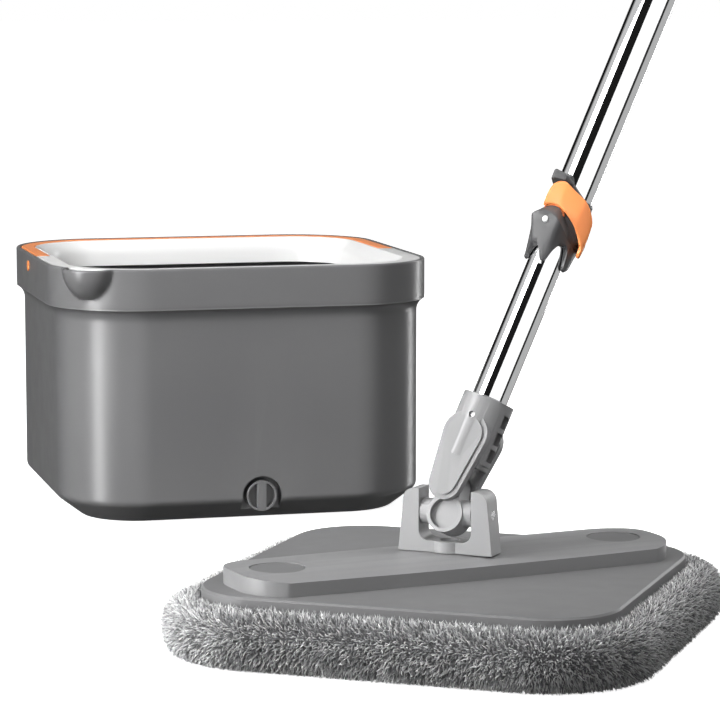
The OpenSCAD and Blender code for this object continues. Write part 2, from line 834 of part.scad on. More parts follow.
module bracket_outline() {
    hull() {
        translate([0, lever_pin_z]) circle(bracket_round_r, $fn = HULL_FN);
        for (x = [-1, 1]) translate([x * bracket_foot_x, bracket_foot_r]) circle(bracket_foot_r, $fn = HULL_FN);
    }
}

// The front bracket leans outwards from the skirt up to the pin
module nose_wedge() {
    rotate([90, 0, 90]) translate([0, 0, -skirt_r * 1.2]) linear_extrude(skirt_r * 2.4)
        polygon([[-skirt_r - 1, 0], [-nose_y, lever_pin_z - 2], [-nose_y, lever_pin_z + 4],
                 [-nose_y + 4, lever_pin_z + bracket_round_r + 1], [-bracket_in, lever_pin_z + bracket_round_r + 1],
                 [-bracket_in, skirt_top], [-skirt_r + 2, skirt_top], [-skirt_r + 2, 0]]);
}

module collar_ring() {
    intersection() {
        across(-ring_nose_y, skirt_r + 2) polygon(concat(collar_top_edge, [[20, 30], [-20, 30]]));
        linear_extrude(60) polygon([[-10, -ring_nose_y], [4, -ring_nose_y], [13.8, -10], [14.8, 0], [13.8, 8],
                                    [8, 16.6], [-8, 16.6], [-13.8, 8], [-14.8, 0]]);
        rotate([90, 0, 90]) translate([0, 0, -20]) linear_extrude(40)
            polygon([[-ring_nose_y, 30], [-ring_nose_y, 51.5], [-15, 60], [20, 60], [20, 30]]);
    }
}

module lock_collar() {
    color(dark_grey) at_collar() difference() {
        union() {
            intersection() {
                rod(collar_r, 0, 60);
                across(-collar_r - 1, collar_r + 1) polygon(concat(collar_top_edge, [[20, 2], [-20, 2]]));
            }
            rod(skirt_r, 2, skirt_top);
            difference() {
                collar_ring();
                translate([0, 0, lever_pin_z]) rod_y(ring_under_r, -nose_y, nose_y);
            }
            intersection() {
                across(-nose_y, -skirt_r + 2) bracket_outline();
                nose_wedge();
            }
            across(bracket_in, rear_bracket_y) bracket_outline();
            block(-bracket_foot_x, bracket_foot_x, collar_r - 3, rear_bracket_y - 1, 2, skirt_top);
        }
        rod(liner_r, liner_low, liner_top);
        rod(lower_r + 0.4, -1, collar_step + 1);
        block(-liner_tab_w / 2, liner_tab_w / 2, -liner_r, 0, -1, liner_low + 1);
        rod(upper_r, collar_step, 61);
        translate([0, 0, lever_pin_z]) rod_y(lever_pin_r, -nose_y - 1, nose_y + 1);
        for (arch = [[-27, 4.6, 2], [34, 6.5, 5]])
            rotate([0, 0, arch[0]]) translate([0, 0, arch[2]]) rod_y(arch[1], -nose_y, -lower_r);
    }
}

module collar_liner() {
    color(white) at_collar() {
        tube(liner_r, lower_r + fit, liner_low, liner_top);
        intersection() {
            tube(liner_r, lower_r + fit, liner_tab_low, liner_low + eps);
            block(-liner_tab_w / 2, liner_tab_w / 2, -liner_r, 0, liner_tab_low, liner_low + eps);
        }
    }
}

module lever_pins() {
    color(white) at_collar() translate([0, 0, lever_pin_z]) {
        rod_y(lever_pin_r, -nose_y - 0.4, -upper_r - 0.2);
        rod_y(lever_pin_r, upper_r + 0.2, rear_bracket_y + 0.4);
    }
}

module lever_plate() {
    hull() {
        translate([0, lever_pin_z]) circle(8, $fn = HULL_FN);
        translate([-2.5, lever_pin_z + 16]) circle(7, $fn = HULL_FN);
        translate([7, lever_pin_z + 14]) circle(7, $fn = HULL_FN);
    }
}

module lever_band_high() {
    difference() {
        intersection() {
            translate([-1, lever_pin_z]) circle(band_top_r);
            polygon([[-9.5, 26], [-9.5, 44], [-6, 50], [10, 50], [16, 42.5], [22, 38], [22.5, 12],
                     [20, web_low_z], [18, 17], [13.5, 25], [9, 29]]);
        }
        translate([0, lever_pin_z]) circle(band_inner_r);
    }
}

module lock_lever() {
    color(orange) at_collar() difference() {
        union() {
            across(-plate_out, -plate_in) lever_plate();
            across(plate_in, plate_out) lever_plate();
            intersection() {
                linear_extrude(60) polygon(lever_band);
                union() {
                    across(-band_out - 1, -lever_t * 4.6) lever_band_high();
                    across(-band_out, plate_out) polygon([[13.5, web_top_z], [23, web_top_z], [22.5, 12],
                                                          [20, web_low_z], [14, web_low_z + 2]]);
                    across(plate_in - 6, plate_out) polygon([[2, 18], [2, 30], [9, 30], [16, web_top_z], [16, 12]]);
                }
            }
        }
        translate([0, 0, lever_pin_z]) rod_y(lever_pin_r + fit, -nose_y, nose_y);
    }
}

tub();
basin();
spindle();
spindle_washer();
spindle_clip();
base_pads();
handle_pins();
bail_handle();
turntable();
hub_bush();
hub_cap();
drain_gasket();
drain_plug();
mop_pad();
hook_strips();
head_plate();
head_bar();
bar_screws();
disc_caps();
yoke();
ear_pin();
swivel_washer();
swivel_screw();
cross_block();
roll_pin();
pole_socket();
socket_rivet();
lower_tube();
guide_bush();
nut_cap();
drive_nut();
lock_collar();
collar_liner();
lever_pins();
lock_lever();
upper_tube();
twisted_spindle();
spindle_plug();
grip_sleeve();
end_cap();
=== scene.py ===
"""Looks for the spin mop and its bucket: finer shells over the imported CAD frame, a real fibre pad,
procedural materials, soft studio light and the camera."""
import json
import math
import bmesh
import bpy
import numpy as np
from mathutils import Matrix, Vector

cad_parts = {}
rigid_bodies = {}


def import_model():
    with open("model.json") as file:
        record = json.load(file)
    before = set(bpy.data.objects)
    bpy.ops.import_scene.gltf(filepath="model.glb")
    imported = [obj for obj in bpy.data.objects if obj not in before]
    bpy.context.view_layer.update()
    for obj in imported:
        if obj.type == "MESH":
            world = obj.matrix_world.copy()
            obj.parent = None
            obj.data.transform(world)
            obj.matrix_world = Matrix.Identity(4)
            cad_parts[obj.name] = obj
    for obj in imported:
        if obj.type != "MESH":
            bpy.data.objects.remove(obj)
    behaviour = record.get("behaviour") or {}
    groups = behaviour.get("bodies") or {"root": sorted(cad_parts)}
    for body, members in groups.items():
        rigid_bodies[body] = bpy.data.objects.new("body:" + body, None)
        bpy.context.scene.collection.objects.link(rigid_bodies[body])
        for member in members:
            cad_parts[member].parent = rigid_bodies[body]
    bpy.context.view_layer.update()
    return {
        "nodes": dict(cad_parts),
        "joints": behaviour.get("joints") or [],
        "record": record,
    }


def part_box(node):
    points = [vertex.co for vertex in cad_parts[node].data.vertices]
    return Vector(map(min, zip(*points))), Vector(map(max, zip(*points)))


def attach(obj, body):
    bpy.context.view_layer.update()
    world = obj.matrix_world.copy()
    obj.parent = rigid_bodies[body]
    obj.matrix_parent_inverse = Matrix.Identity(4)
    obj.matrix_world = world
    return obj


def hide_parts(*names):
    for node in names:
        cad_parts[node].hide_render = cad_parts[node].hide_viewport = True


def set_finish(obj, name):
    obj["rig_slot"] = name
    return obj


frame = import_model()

MM = 0.001
JOINTS = {j["name"]: j for j in frame["joints"]}
NODES = frame["nodes"]


# ---------------------------------------------------------------- dimensions, from the frame

_, TUB_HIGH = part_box("tub")
BASIN_LOW, BASIN_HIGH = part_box("basin")
BAIL_LOW, BAIL_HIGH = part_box("bail_handle")
RIM_X = BASIN_HIGH.x / MM + 3.4            # outside of the rim, half the bucket's length
RIM_Y = BASIN_HIGH.y / MM + 3.4
RIM_Z = TUB_HIGH.z / MM
CORNER = 68.0                              # rim corner radius; "out" is measured from its centre
CX, CY = RIM_X - CORNER, RIM_Y - CORNER
STEP, BAND, COVE = 6.0, 30.0, 10.0
WALL = 2.6
CHAMFER_H, CHAMFER_IN = 15.0, 20.0
SPOUT_ANGLE, SPOUT_OUT, SPOUT_R, SPOUT_DROP, SPOUT_WALL = 227.0, 61.0, 21.2, 24.0, 2.4
PLUG = Vector(JOINTS["drain_turn"]["pos_m"]) / MM
POCKET_R, POCKET_DEPTH = 14.75, 9.5

HEAD = Vector(JOINTS["yoke_swivel"]["pos_m"]) / MM
PLATE_YAW = math.radians(-33.7)
PLATE_HALF_L, PLATE_HALF_W, PLATE_CORNER = 127.0, 124.0, 45.0
PAD_OUT, PAD_H = 24.0, 35.0
PAD_RECESS = 29.7

POLE_AXIS = Vector(JOINTS["pole_slide"]["axis"]).normalized()
POLE_Y = -Vector(JOINTS["pole_roll"]["axis"]).normalized()
POLE_X = POLE_Y.cross(POLE_AXIS).normalized()
ROLL_POINT = Vector(JOINTS["pole_roll"]["pos_m"])
LEVER_PIN_Z = 23.3                         # height of the lever's pins above the collar's lower edge
COLLAR_Z = (Vector(JOINTS["lever_flip"]["pos_m"]) - ROLL_POINT).length / MM - LEVER_PIN_Z


def pole_matrix(height=0.0):
    """Maps millimetres up the pole, with Y along the roll pin, to metres in the row frame."""
    m = Matrix((POLE_X, POLE_Y, POLE_AXIS)).transposed().to_4x4()
    m.translation = ROLL_POINT + POLE_AXIS * height * MM
    return m @ Matrix.Scale(MM, 4)


def plate_matrix():
    return Matrix.Translation((HEAD.x * MM, HEAD.y * MM, 0)) @ Matrix.Rotation(PLATE_YAW, 4, "Z") @ Matrix.Scale(MM, 4)


ROW = Matrix.Scale(MM, 4)


# ---------------------------------------------------------------- mesh helpers

def link(name, bm, matrix=ROW, sharp=35):
    """Makes an object from a bmesh in the helper's own millimetres and places it with matrix."""
    bmesh.ops.recalc_face_normals(bm, faces=bm.faces)
    mesh = bpy.data.meshes.new(name)
    bm.to_mesh(mesh)
    bm.free()
    mesh.transform(matrix)
    mesh.polygons.foreach_set("use_smooth", [True] * len(mesh.polygons))
    mesh.set_sharp_from_angle(angle=math.radians(sharp))
    obj = bpy.data.objects.new(name, mesh)
    bpy.context.scene.collection.objects.link(obj)
    return obj


def apply_modifiers(obj):
    """Bakes an object's modifiers into its mesh."""
    deps = bpy.context.evaluated_depsgraph_get()
    mesh = bpy.data.meshes.new_from_object(obj.evaluated_get(deps))
    obj.modifiers.clear()
    obj.data = mesh


def grid_faces(bm, rows, wrap_rows, wrap_cols):
    """Quads between rows of vertices."""
    n, m = len(rows), len(rows[0])
    for i in range(n if wrap_rows else n - 1):
        for j in range(m if wrap_cols else m - 1):
            a, b = rows[i], rows[(i + 1) % n]
            bm.faces.new((a[j], b[j], b[(j + 1) % m], a[(j + 1) % m]))


def rounded_path(cx, cy, arc_steps, straight_steps=8):
    """Corner-arc centres and angles round a rounded rectangle, from the +X +Y corner on."""
    centres = [(cx, cy), (-cx, cy), (-cx, -cy), (cx, -cy)]
    path = []
    for i in range(4):
        x, y = centres[i]
        nx, ny = centres[(i + 1) % 4]
        for k in range(arc_steps):
            path.append((x, y, 90 * i + 90 * k / arc_steps))
        for k in range(straight_steps):
            t = k / straight_steps
            path.append((x + (nx - x) * t, y + (ny - y) * t, 90 * (i + 1)))
    return path


def at(point, out, z):
    x, y, a = point
    a = math.radians(a)
    return (x + out * math.cos(a), y + out * math.sin(a), z)


def arc(cx, cz, r, a0, a1, n):
    """Points of an arc in a profile: (out, z)."""
    return [(cx + r * math.cos(math.radians(a0 + (a1 - a0) * i / n)),
             cz + r * math.sin(math.radians(a0 + (a1 - a0) * i / n))) for i in range(n + 1)]


def fillet(points, radius, n=5):
    """Rounds the corners of an open profile; radius is a number or one per inner point."""
    out = [points[0]]
    for i in range(1, len(points) - 1):
        r = radius[i - 1] if isinstance(radius, (list, tuple)) else radius
        p0, p, p1 = (Vector(points[i + k]) for k in (-1, 0, 1))
        u, v = (p0 - p), (p1 - p)
        reach = min(r, 0.45 * u.length, 0.45 * v.length)
        if reach < 1e-4:
            out.append(tuple(p))
            continue
        a, b = p + u.normalized() * reach, p + v.normalized() * reach
        for k in range(n + 1):
            t = k / n
            q = a * (1 - t) ** 2 + p * 2 * t * (1 - t) + b * t * t
            out.append((q.x, q.y))
    out.append(points[-1])
    return out


def refine(points, step):
    """Adds points along a profile so that none of its stretches is longer than step."""
    out = [points[0]]
    for a, b in zip(points, points[1:]):
        n = max(1, math.ceil(math.dist(a, b) / step))
        out += [(a[0] + (b[0] - a[0]) * k / n, a[1] + (b[1] - a[1]) * k / n) for k in range(1, n + 1)]
    return out


def sweep(bm, profile, path, closed, shape=None):
    """Sweeps a profile along a rounded path. shape(out, z, angle) may push the points outwards."""
    rows = []
    for p in path:
        rows.append([bm.verts.new(at(p, shape(o, z, p) if shape else o, z)) for o, z in profile])
    grid_faces(bm, rows, True, closed)
    return rows


def lathe(bm, profile, steps=96, closed=True):
    """Turns (radius, height) points round Z."""
    rows = []
    for k in range(steps):
        a = 2 * math.pi * k / steps
        rows.append([bm.verts.new((r * math.cos(a), r * math.sin(a), z)) for r, z in profile])
    grid_faces(bm, rows, True, closed)


def prism(bm, outline, y0, y1, edge=0.8, steps=3):
    """A plate with the outline in X and Z, between y0 and y1, with rounded edges."""
    outline = [Vector(p) for p in outline]
    n = len(outline)
    area = sum(outline[i].x * outline[(i + 1) % n].y - outline[(i + 1) % n].x * outline[i].y for i in range(n))
    side = 1 if area > 0 else -1

    def ring(inset, y):
        points = []
        for i in range(n):
            d0 = (outline[i] - outline[i - 1]).normalized()
            d1 = (outline[(i + 1) % n] - outline[i]).normalized()
            normal = (Vector((-d0.y, d0.x)) + Vector((-d1.y, d1.x)))
            normal = normal.normalized() * side
            points.append(bm.verts.new((outline[i].x + normal.x * inset, y, outline[i].y + normal.y * inset)))
        return points
    sgn = 1 if y1 > y0 else -1
    rings = []
    for k in range(steps + 1):
        t = math.radians(90 * k / steps)
        rings.append(ring(edge * (1 - math.sin(t)), y0 + sgn * edge * (1 - math.cos(t))))
    for k in range(steps + 1):
        t = math.radians(90 * k / steps)
        rings.append(ring(edge * (1 - math.cos(t)), y1 - sgn * edge * (1 - math.sin(t))))
    grid_faces(bm, rings, False, True)
    bm.faces.new(rings[0])
    bm.faces.new(list(reversed(rings[-1])))


def smooth_loop(points, rounds=2):
    """Chaikin corner cutting on a closed outline."""
    pts = [Vector(p) for p in points]
    for _ in range(rounds):
        new = []
        for i, p in enumerate(pts):
            q = pts[(i + 1) % len(pts)]
            new += [p * 0.75 + q * 0.25, p * 0.25 + q * 0.75]
        pts = new
    return [(p.x, p.y) for p in pts]


def boolean(obj, other, operation):
    """Applies a boolean with another object, which is then removed."""
    mod = obj.modifiers.new("cut", "BOOLEAN")
    mod.operation = operation
    mod.object = other
    mod.solver = "EXACT"
    apply_modifiers(obj)
    bpy.data.objects.remove(other)
    obj.data.polygons.foreach_set("use_smooth", [True] * len(obj.data.polygons))


def rounded_copy(node, width, segments=3, angle=32, name=None, dissolve=1.2):
    """A copy of a CAD node with its edges rounded. The copy stands for the node."""
    source = NODES[node]
    mesh = source.data.copy()
    bm = bmesh.new()
    bm.from_mesh(mesh)
    bmesh.ops.remove_doubles(bm, verts=bm.verts, dist=2e-6)
    bmesh.ops.dissolve_limit(bm, angle_limit=math.radians(dissolve), verts=bm.verts, edges=bm.edges)
    bm.to_mesh(mesh)
    bm.free()
    mesh.materials.clear()
    obj = bpy.data.objects.new(name or node + "_shell", mesh)
    bpy.context.scene.collection.objects.link(obj)
    bevel = obj.modifiers.new("round", "BEVEL")
    bevel.width = width * MM
    bevel.segments = segments
    bevel.limit_method = "ANGLE"
    bevel.angle_limit = math.radians(angle)
    bevel.use_clamp_overlap = True
    bevel.miter_outer = "MITER_ARC"
    weighted = obj.modifiers.new("normals", "WEIGHTED_NORMAL")
    weighted.keep_sharp = True
    obj.data.polygons.foreach_set("use_smooth", [True] * len(obj.data.polygons))
    apply_modifiers(obj)
    body = source.parent.name.split(":", 1)[1]
    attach(obj, body)
    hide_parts(node)
    slot = [s["material_slot"] for s in frame["record"]["subparts"] if s["node"] == node]
    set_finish(obj, slot[0])
    return obj


def place(obj, body, slot, *nodes):
    """Rides a new piece on its body, hides the CAD nodes it stands for and sets its rig slot."""
    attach(obj, body)
    if nodes:
        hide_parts(*nodes)
    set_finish(obj, slot)
    return obj


# ---------------------------------------------------------------- material helpers

def new_material(name):
    mat = bpy.data.materials.new(name)
    mat.use_nodes = True
    nodes, links = mat.node_tree.nodes, mat.node_tree.links
    return mat, nodes, links, nodes["Principled BSDF"]


def noise(nodes, links, scale, detail=3.0, rough=0.5, coords=None, stretch=None):
    """A noise texture in object space."""
    tex = nodes.new("ShaderNodeTexNoise")
    tex.inputs["Scale"].default_value = scale
    tex.inputs["Detail"].default_value = detail
    tex.inputs["Roughness"].default_value = rough
    src = nodes.new("ShaderNodeTexCoord")
    if stretch:
        mapping = nodes.new("ShaderNodeMapping")
        mapping.inputs["Scale"].default_value = stretch
        links.new(src.outputs["Object"], mapping.inputs["Vector"])
        links.new(mapping.outputs["Vector"], tex.inputs["Vector"])
    else:
        links.new(src.outputs["Object"], tex.inputs["Vector"])
    return tex


def ramp(nodes, links, source, stops):
    node = nodes.new("ShaderNodeValToRGB")
    while len(node.color_ramp.elements) < len(stops):
        node.color_ramp.elements.new(0.5)
    for e, (pos, col) in zip(node.color_ramp.elements, stops):
        e.position = pos
        e.color = (*col, 1) if len(col) == 3 else col
    links.new(source, node.inputs["Fac"])
    return node


def shade(color, k):
    return tuple(min(1.0, c * k) for c in color)


def plastic(name, color, rough=0.38, grain=0.05, grain_scale=2600, mottling=0.05, spec=0.5, coat=0.0, sss=0.0,
            painted_edge_highlight=0.25):
    """Moulded plastic: fine spark-eroded grain, slow colour drift, slightly uneven gloss, and convex edges painted
    paler as a highlight.
    """
    mat, nodes, links, bsdf = new_material(name)
    drift = noise(nodes, links, 9.0, 4.0)
    flow = noise(nodes, links, 55.0, 2.0)
    col = ramp(nodes, links, drift.outputs["Fac"],
               [(0.2, shade(color, 1 - mottling)), (0.8, shade(color, 1 + mottling))])
    # Convex edges (high pointiness) are mixed towards a paler colour: a painted highlight along the edges.
    geo = nodes.new("ShaderNodeNewGeometry")
    edge = ramp(nodes, links, geo.outputs["Pointiness"], [(0.505, (0, 0, 0)), (0.58, (1, 1, 1))])
    edge_highlight_amount = nodes.new("ShaderNodeMath")
    edge_highlight_amount.operation = "MULTIPLY"
    edge_highlight_amount.inputs[1].default_value = painted_edge_highlight
    links.new(edge.outputs["Color"], edge_highlight_amount.inputs[0])
    mix = nodes.new("ShaderNodeMix")
    mix.data_type = "RGBA"
    links.new(edge_highlight_amount.outputs[0], mix.inputs["Factor"])
    links.new(col.outputs["Color"], mix.inputs["A"])
    mix.inputs["B"].default_value = (*[min(1, c * 1.35 + 0.03) for c in color], 1)
    links.new(mix.outputs["Result"], bsdf.inputs["Base Color"])
    gloss = ramp(nodes, links, flow.outputs["Fac"], [(0.0, (rough - 0.05,) * 3), (1.0, (rough + 0.06,) * 3)])
    links.new(gloss.outputs["Color"], bsdf.inputs["Roughness"])
    fine = noise(nodes, links, grain_scale, 2.0)
    bump = nodes.new("ShaderNodeBump")
    bump.inputs["Strength"].default_value = grain
    bump.inputs["Distance"].default_value = 0.0004
    links.new(fine.outputs["Fac"], bump.inputs["Height"])
    links.new(bump.outputs["Normal"], bsdf.inputs["Normal"])
    bsdf.inputs["Specular IOR Level"].default_value = spec
    bsdf.inputs["Coat Weight"].default_value = coat
    bsdf.inputs["Coat Roughness"].default_value = 0.15
    if sss:
        bsdf.inputs["Subsurface Weight"].default_value = sss
        bsdf.inputs["Subsurface Radius"].default_value = (0.004, 0.004, 0.004)
    return mat


def metal(name, color, rough, streak=0.0, axis=(1, 1, 0.02)):
    """Polished or turned steel with faint streaks along one direction."""
    mat, nodes, links, bsdf = new_material(name)
    bsdf.inputs["Metallic"].default_value = 1.0
    tex = noise(nodes, links, 900.0, 3.0, stretch=axis)
    col = ramp(nodes, links, tex.outputs["Fac"], [(0.3, shade(color, 0.96)), (0.7, shade(color, 1.02))])
    links.new(col.outputs["Color"], bsdf.inputs["Base Color"])
    gloss = ramp(nodes, links, tex.outputs["Fac"], [(0.3, (max(0.02, rough - streak),) * 3), (0.7, (rough + streak,) * 3)])
    links.new(gloss.outputs["Color"], bsdf.inputs["Roughness"])
    bump = nodes.new("ShaderNodeBump")
    bump.inputs["Strength"].default_value = 0.02
    bump.inputs["Distance"].default_value = 0.0001
    links.new(tex.outputs["Fac"], bump.inputs["Height"])
    links.new(bump.outputs["Normal"], bsdf.inputs["Normal"])
    return mat


def rubber(name, color):
    mat = plastic(name, color, rough=0.7, grain=0.2, grain_scale=1500, spec=0.3, painted_edge_highlight=0.1)
    return mat


def fibre_material(name):
    """Two-tone microfibre: each tuft carries its own random grey, with painted shade darkening it at the root and a
    painted highlight lightening it at the tip.
    """
    mat, nodes, links, bsdf = new_material(name)
    # The tone attribute holds each tuft's random grey plus its painted root shade and painted tip highlight.
    tone = nodes.new("ShaderNodeAttribute")
    tone.attribute_name = "tone"
    drift = noise(nodes, links, 26.0, 3.0)
    add = nodes.new("ShaderNodeMath")
    add.operation = "MULTIPLY_ADD"
    add.inputs[1].default_value = 0.22
    links.new(drift.outputs["Fac"], add.inputs[0])
    links.new(tone.outputs["Fac"], add.inputs[2])
    col = ramp(nodes, links, add.outputs[0],
               [(0.10, (0.08, 0.08, 0.083)), (0.38, (0.24, 0.24, 0.245)), (0.62, (0.48, 0.48, 0.485)),
                (0.95, (0.82, 0.82, 0.82))])
    links.new(col.outputs["Color"], bsdf.inputs["Base Color"])
    fine = noise(nodes, links, 1800.0, 2.0)
    bump = nodes.new("ShaderNodeBump")
    bump.inputs["Strength"].default_value = 0.4
    bump.inputs["Distance"].default_value = 0.0005
    links.new(fine.outputs["Fac"], bump.inputs["Height"])
    links.new(bump.outputs["Normal"], bsdf.inputs["Normal"])
    bsdf.inputs["Roughness"].default_value = 0.9
    bsdf.inputs["Specular IOR Level"].default_value = 0.15
    bsdf.inputs["Sheen Weight"].default_value = 0.5
    bsdf.inputs["Sheen Roughness"].default_value = 0.5
    return mat


def tape_material(name):
    """Woven hook tape."""
    mat, nodes, links, bsdf = new_material(name)
    weave = nodes.new("ShaderNodeTexVoronoi")
    weave.inputs["Scale"].default_value = 900
    src = nodes.new("ShaderNodeTexCoord")
    links.new(src.outputs["Object"], weave.inputs["Vector"])
    col = ramp(nodes, links, weave.outputs["Distance"], [(0.0, (0.07, 0.07, 0.075)), (0.8, (0.02, 0.02, 0.02))])
    links.new(col.outputs["Color"], bsdf.inputs["Base Color"])
    bump = nodes.new("ShaderNodeBump")
    bump.inputs["Strength"].default_value = 0.6
    bump.inputs["Distance"].default_value = 0.0005
    links.new(weave.outputs["Distance"], bump.inputs["Height"])
    links.new(bump.outputs["Normal"], bsdf.inputs["Normal"])
    bsdf.inputs["Roughness"].default_value = 0.85
    return mat


# The edge setting of each plastic below sets how strongly its convex edges get a painted highlight.
MATERIALS = {
    "tub_plastic": plastic("satin_grey", (0.115, 0.115, 0.117), rough=0.31, painted_edge_highlight=0.3),
    "basin_plastic": plastic("gloss_white", (0.78, 0.78, 0.775), rough=0.22, grain=0.015, mottling=0.01, sss=0.08,
                             painted_edge_highlight=0.0),
    "orange_plastic": plastic("satin_orange", (0.86, 0.27, 0.075), rough=0.36, mottling=0.03, sss=0.05, painted_edge_highlight=0.15),
    "turntable_plastic": plastic("pale_grey", (0.42, 0.42, 0.425), rough=0.42),
    "plate_plastic": plastic("plate_grey", (0.125, 0.125, 0.127), rough=0.45),
    "bar_plastic": plastic("bar_grey", (0.19, 0.19, 0.193), rough=0.42),
    "joint_plastic": plastic("joint_grey", (0.285, 0.285, 0.288), rough=0.36),
    "socket_plastic": plastic("socket_grey", (0.205, 0.205, 0.208), rough=0.38),
    "collar_plastic": plastic("collar_grey", (0.062, 0.062, 0.064), rough=0.42),
    "grip_plastic": plastic("grip_grey", (0.15, 0.15, 0.153), rough=0.55, grain=0.3, grain_scale=900),
    "nylon": plastic("milky_nylon", (0.78, 0.79, 0.78), rough=0.3, grain=0.02, sss=0.2, painted_edge_highlight=0.0),
    "tube_chrome": metal("polished_tube", (0.86, 0.865, 0.87), 0.045, 0.015),
    "pin_steel": metal("turned_steel", (0.62, 0.62, 0.63), 0.26, 0.08, axis=(0.02, 1, 1)),
    "rubber": rubber("soft_rubber", (0.03, 0.03, 0.031)),
    "pad_fibre": fibre_material("microfibre"),
    "hook_tape": tape_material("hook_weave"),
}


def dress(obj, slot):
    """Gives an object one material in its first slot."""
    obj.data.materials.clear()
    obj.data.materials.append(MATERIALS[slot])


# ---------------------------------------------------------------- bucket

def spout_reach(r, drop, z, point):
    """How far out the spout's dome stands at height z and path angle, or None."""
    x, y, a = point
    if not 180 <= a <= 270:
        return None
    s = math.radians(a - SPOUT_ANGLE) * SPOUT_OUT * 1.08
    depth = (RIM_Z - z) / drop
    inside = r * r * (1 - min(depth, 1) ** 2) - s * s
    return SPOUT_OUT + math.sqrt(inside) if inside > 0 else None


def soft_max(a, b, k):
    """The larger of two lengths, blended where they are within k of each other."""
    h = max(k - abs(a - b), 0) / k
    return max(a, b) + h * h * k * 0.25


def make_tub():
    wall_out = CORNER - STEP
    band_z = RIM_Z - BAND
    cove_r = (STEP ** 2 + COVE ** 2) / (2 * STEP)
    cove_a = math.degrees(math.asin(COVE / cove_r))
    cove = [(wall_out + cove_r * (1 - math.cos(math.radians(cove_a * i / 8))),
             band_z - COVE + cove_r * math.sin(math.radians(cove_a * i / 8))) for i in range(9)]
    base_in = wall_out - CHAMFER_IN
    outer = fillet([(base_in - 6, 0.0), (base_in, 0.0), (wall_out, CHAMFER_H), (wall_out, band_z - COVE - 20)],
                   [2.5, 3.5], 6)
    outer += [(wall_out, band_z - COVE)] + cove[1:]
    band = fillet([cove[-1], (CORNER - 0.2, band_z + 0.9), (CORNER, band_z + 2.2), (CORNER, RIM_Z - 0.9),
                   (CORNER - 1.0, RIM_Z), (CORNER - 2.1, RIM_Z), (CORNER - 3.0, RIM_Z - 0.8),
                   (CORNER - 3.0, band_z + 2)], 0.8, 3)
    outer += refine(band[1:], 1.6)
    inner = [(wall_out - WALL, band_z - COVE), (wall_out - WALL, CHAMFER_H + 1), (base_in - 1, 3.0),
             (base_in - 6, 3.0)]
    profile = outer + refine([outer[-1], inner[0]], 3)[1:] + inner[1:]
    path = rounded_path(CX, CY, 40, 10)
    extra = [(-CX, -CY, 180 + 90 * (k + 0.5) / 40) for k in range(40)]
    path = sorted_path(path + extra)
    crest = next(i for i, (o, z) in enumerate(profile) if o <= CORNER - 1.6 and z >= RIM_Z - 1)
    bm = bmesh.new()
    rows = []
    for p in path:
        row = []
        for i, (o, z) in enumerate(profile):
            if i <= crest:
                reach = spout_reach(SPOUT_R, SPOUT_DROP, min(z, RIM_Z), p)
                o2 = soft_max(o, reach, 2.2) if reach is not None and i > 3 else o
                if reach is not None and z > RIM_Z - 1.2:
                    o2 = max(o, reach + (o - CORNER))
            else:
                reach = spout_reach(SPOUT_R - SPOUT_WALL, SPOUT_DROP - SPOUT_WALL, min(z, RIM_Z), p)
                o2 = soft_max(o, reach, 1.5) if reach is not None and z > RIM_Z - 40 else o
            row.append(bm.verts.new(at(p, o2, z)))
        rows.append(row)
    grid_faces(bm, rows, True, False)
    bm.faces.new([r[0] for r in rows])
    bm.faces.new([r[-1] for r in reversed(rows)])
    tub = link("tub_body", bm)
    # drain pocket: a block inside the wall, then the arched recess and the port bore
    front = -(CY + wall_out)

    def arch(radius, y0, y1, low):
        outline = [(PLUG.x + x, PLUG.z + z) for x, z in arc(0, 0, radius, 0, 180, 40)]
        outline += [(PLUG.x - radius, low), (PLUG.x + radius, low)]
        cut = bmesh.new()
        lo = [cut.verts.new((x, y0, z)) for x, z in outline]
        hi = [cut.verts.new((x, y1, z)) for x, z in outline]
        grid_faces(cut, [lo, hi], False, True)
        cut.faces.new(lo)
        cut.faces.new(list(reversed(hi)))
        return cut

    block = arch(POCKET_R + 2.6, front + 1.2, front + POCKET_DEPTH + 2.6, -4.0)
    slope = Vector((0, -CHAMFER_H, -CHAMFER_IN)).normalized()
    cut = bmesh.ops.bisect_plane(block, geom=block.verts[:] + block.edges[:] + block.faces[:],
                                 plane_co=Vector((0, front, CHAMFER_H)) - slope * 1.3, plane_no=slope,
                                 clear_outer=True)
    bmesh.ops.edgeloop_fill(block, edges=[e for e in cut["geom_cut"] if isinstance(e, bmesh.types.BMEdge)])
    boolean(tub, link("cutter", block), "UNION")
    boolean(tub, link("cutter", arch(POCKET_R, front - 6, front + POCKET_DEPTH, -3.0)), "DIFFERENCE")
    port = bmesh.new()
    bmesh.ops.create_cone(port, cap_ends=True, segments=48, radius1=7, radius2=7, depth=12,
                          matrix=Matrix.Translation((PLUG.x, front + POCKET_DEPTH + 2, PLUG.z))
                          @ Matrix.Rotation(math.pi / 2, 4, "X"))
    boolean(tub, link("cutter", port), "DIFFERENCE")
    tub.data.set_sharp_from_angle(angle=math.radians(30))
    dress(tub, "tub_plastic")
    place(tub, "bucket", "tub_plastic", "tub")
    # boss for the spindle
    boss = bmesh.new()
    lathe(boss, fillet([(4.0, 3.0), (13.5, 3.0), (13, 3.4), (13, 20), (4.0, 20)], 0.8), 64, True)
    boss = link("spindle_boss", boss)
    dress(boss, "tub_plastic")
    place(boss, "bucket", "tub_plastic")
    return tub


def sorted_path(points):
    """Path points in order round the rounded rectangle."""
    def key(p):
        x, y, a = p
        along = {0: 0, 90: -x, 180: -y, 270: x, 360: y}.get(round(a, 6))
        return (a, along if along is not None and a % 90 == 0 else 0)
    return sorted(points, key=key)


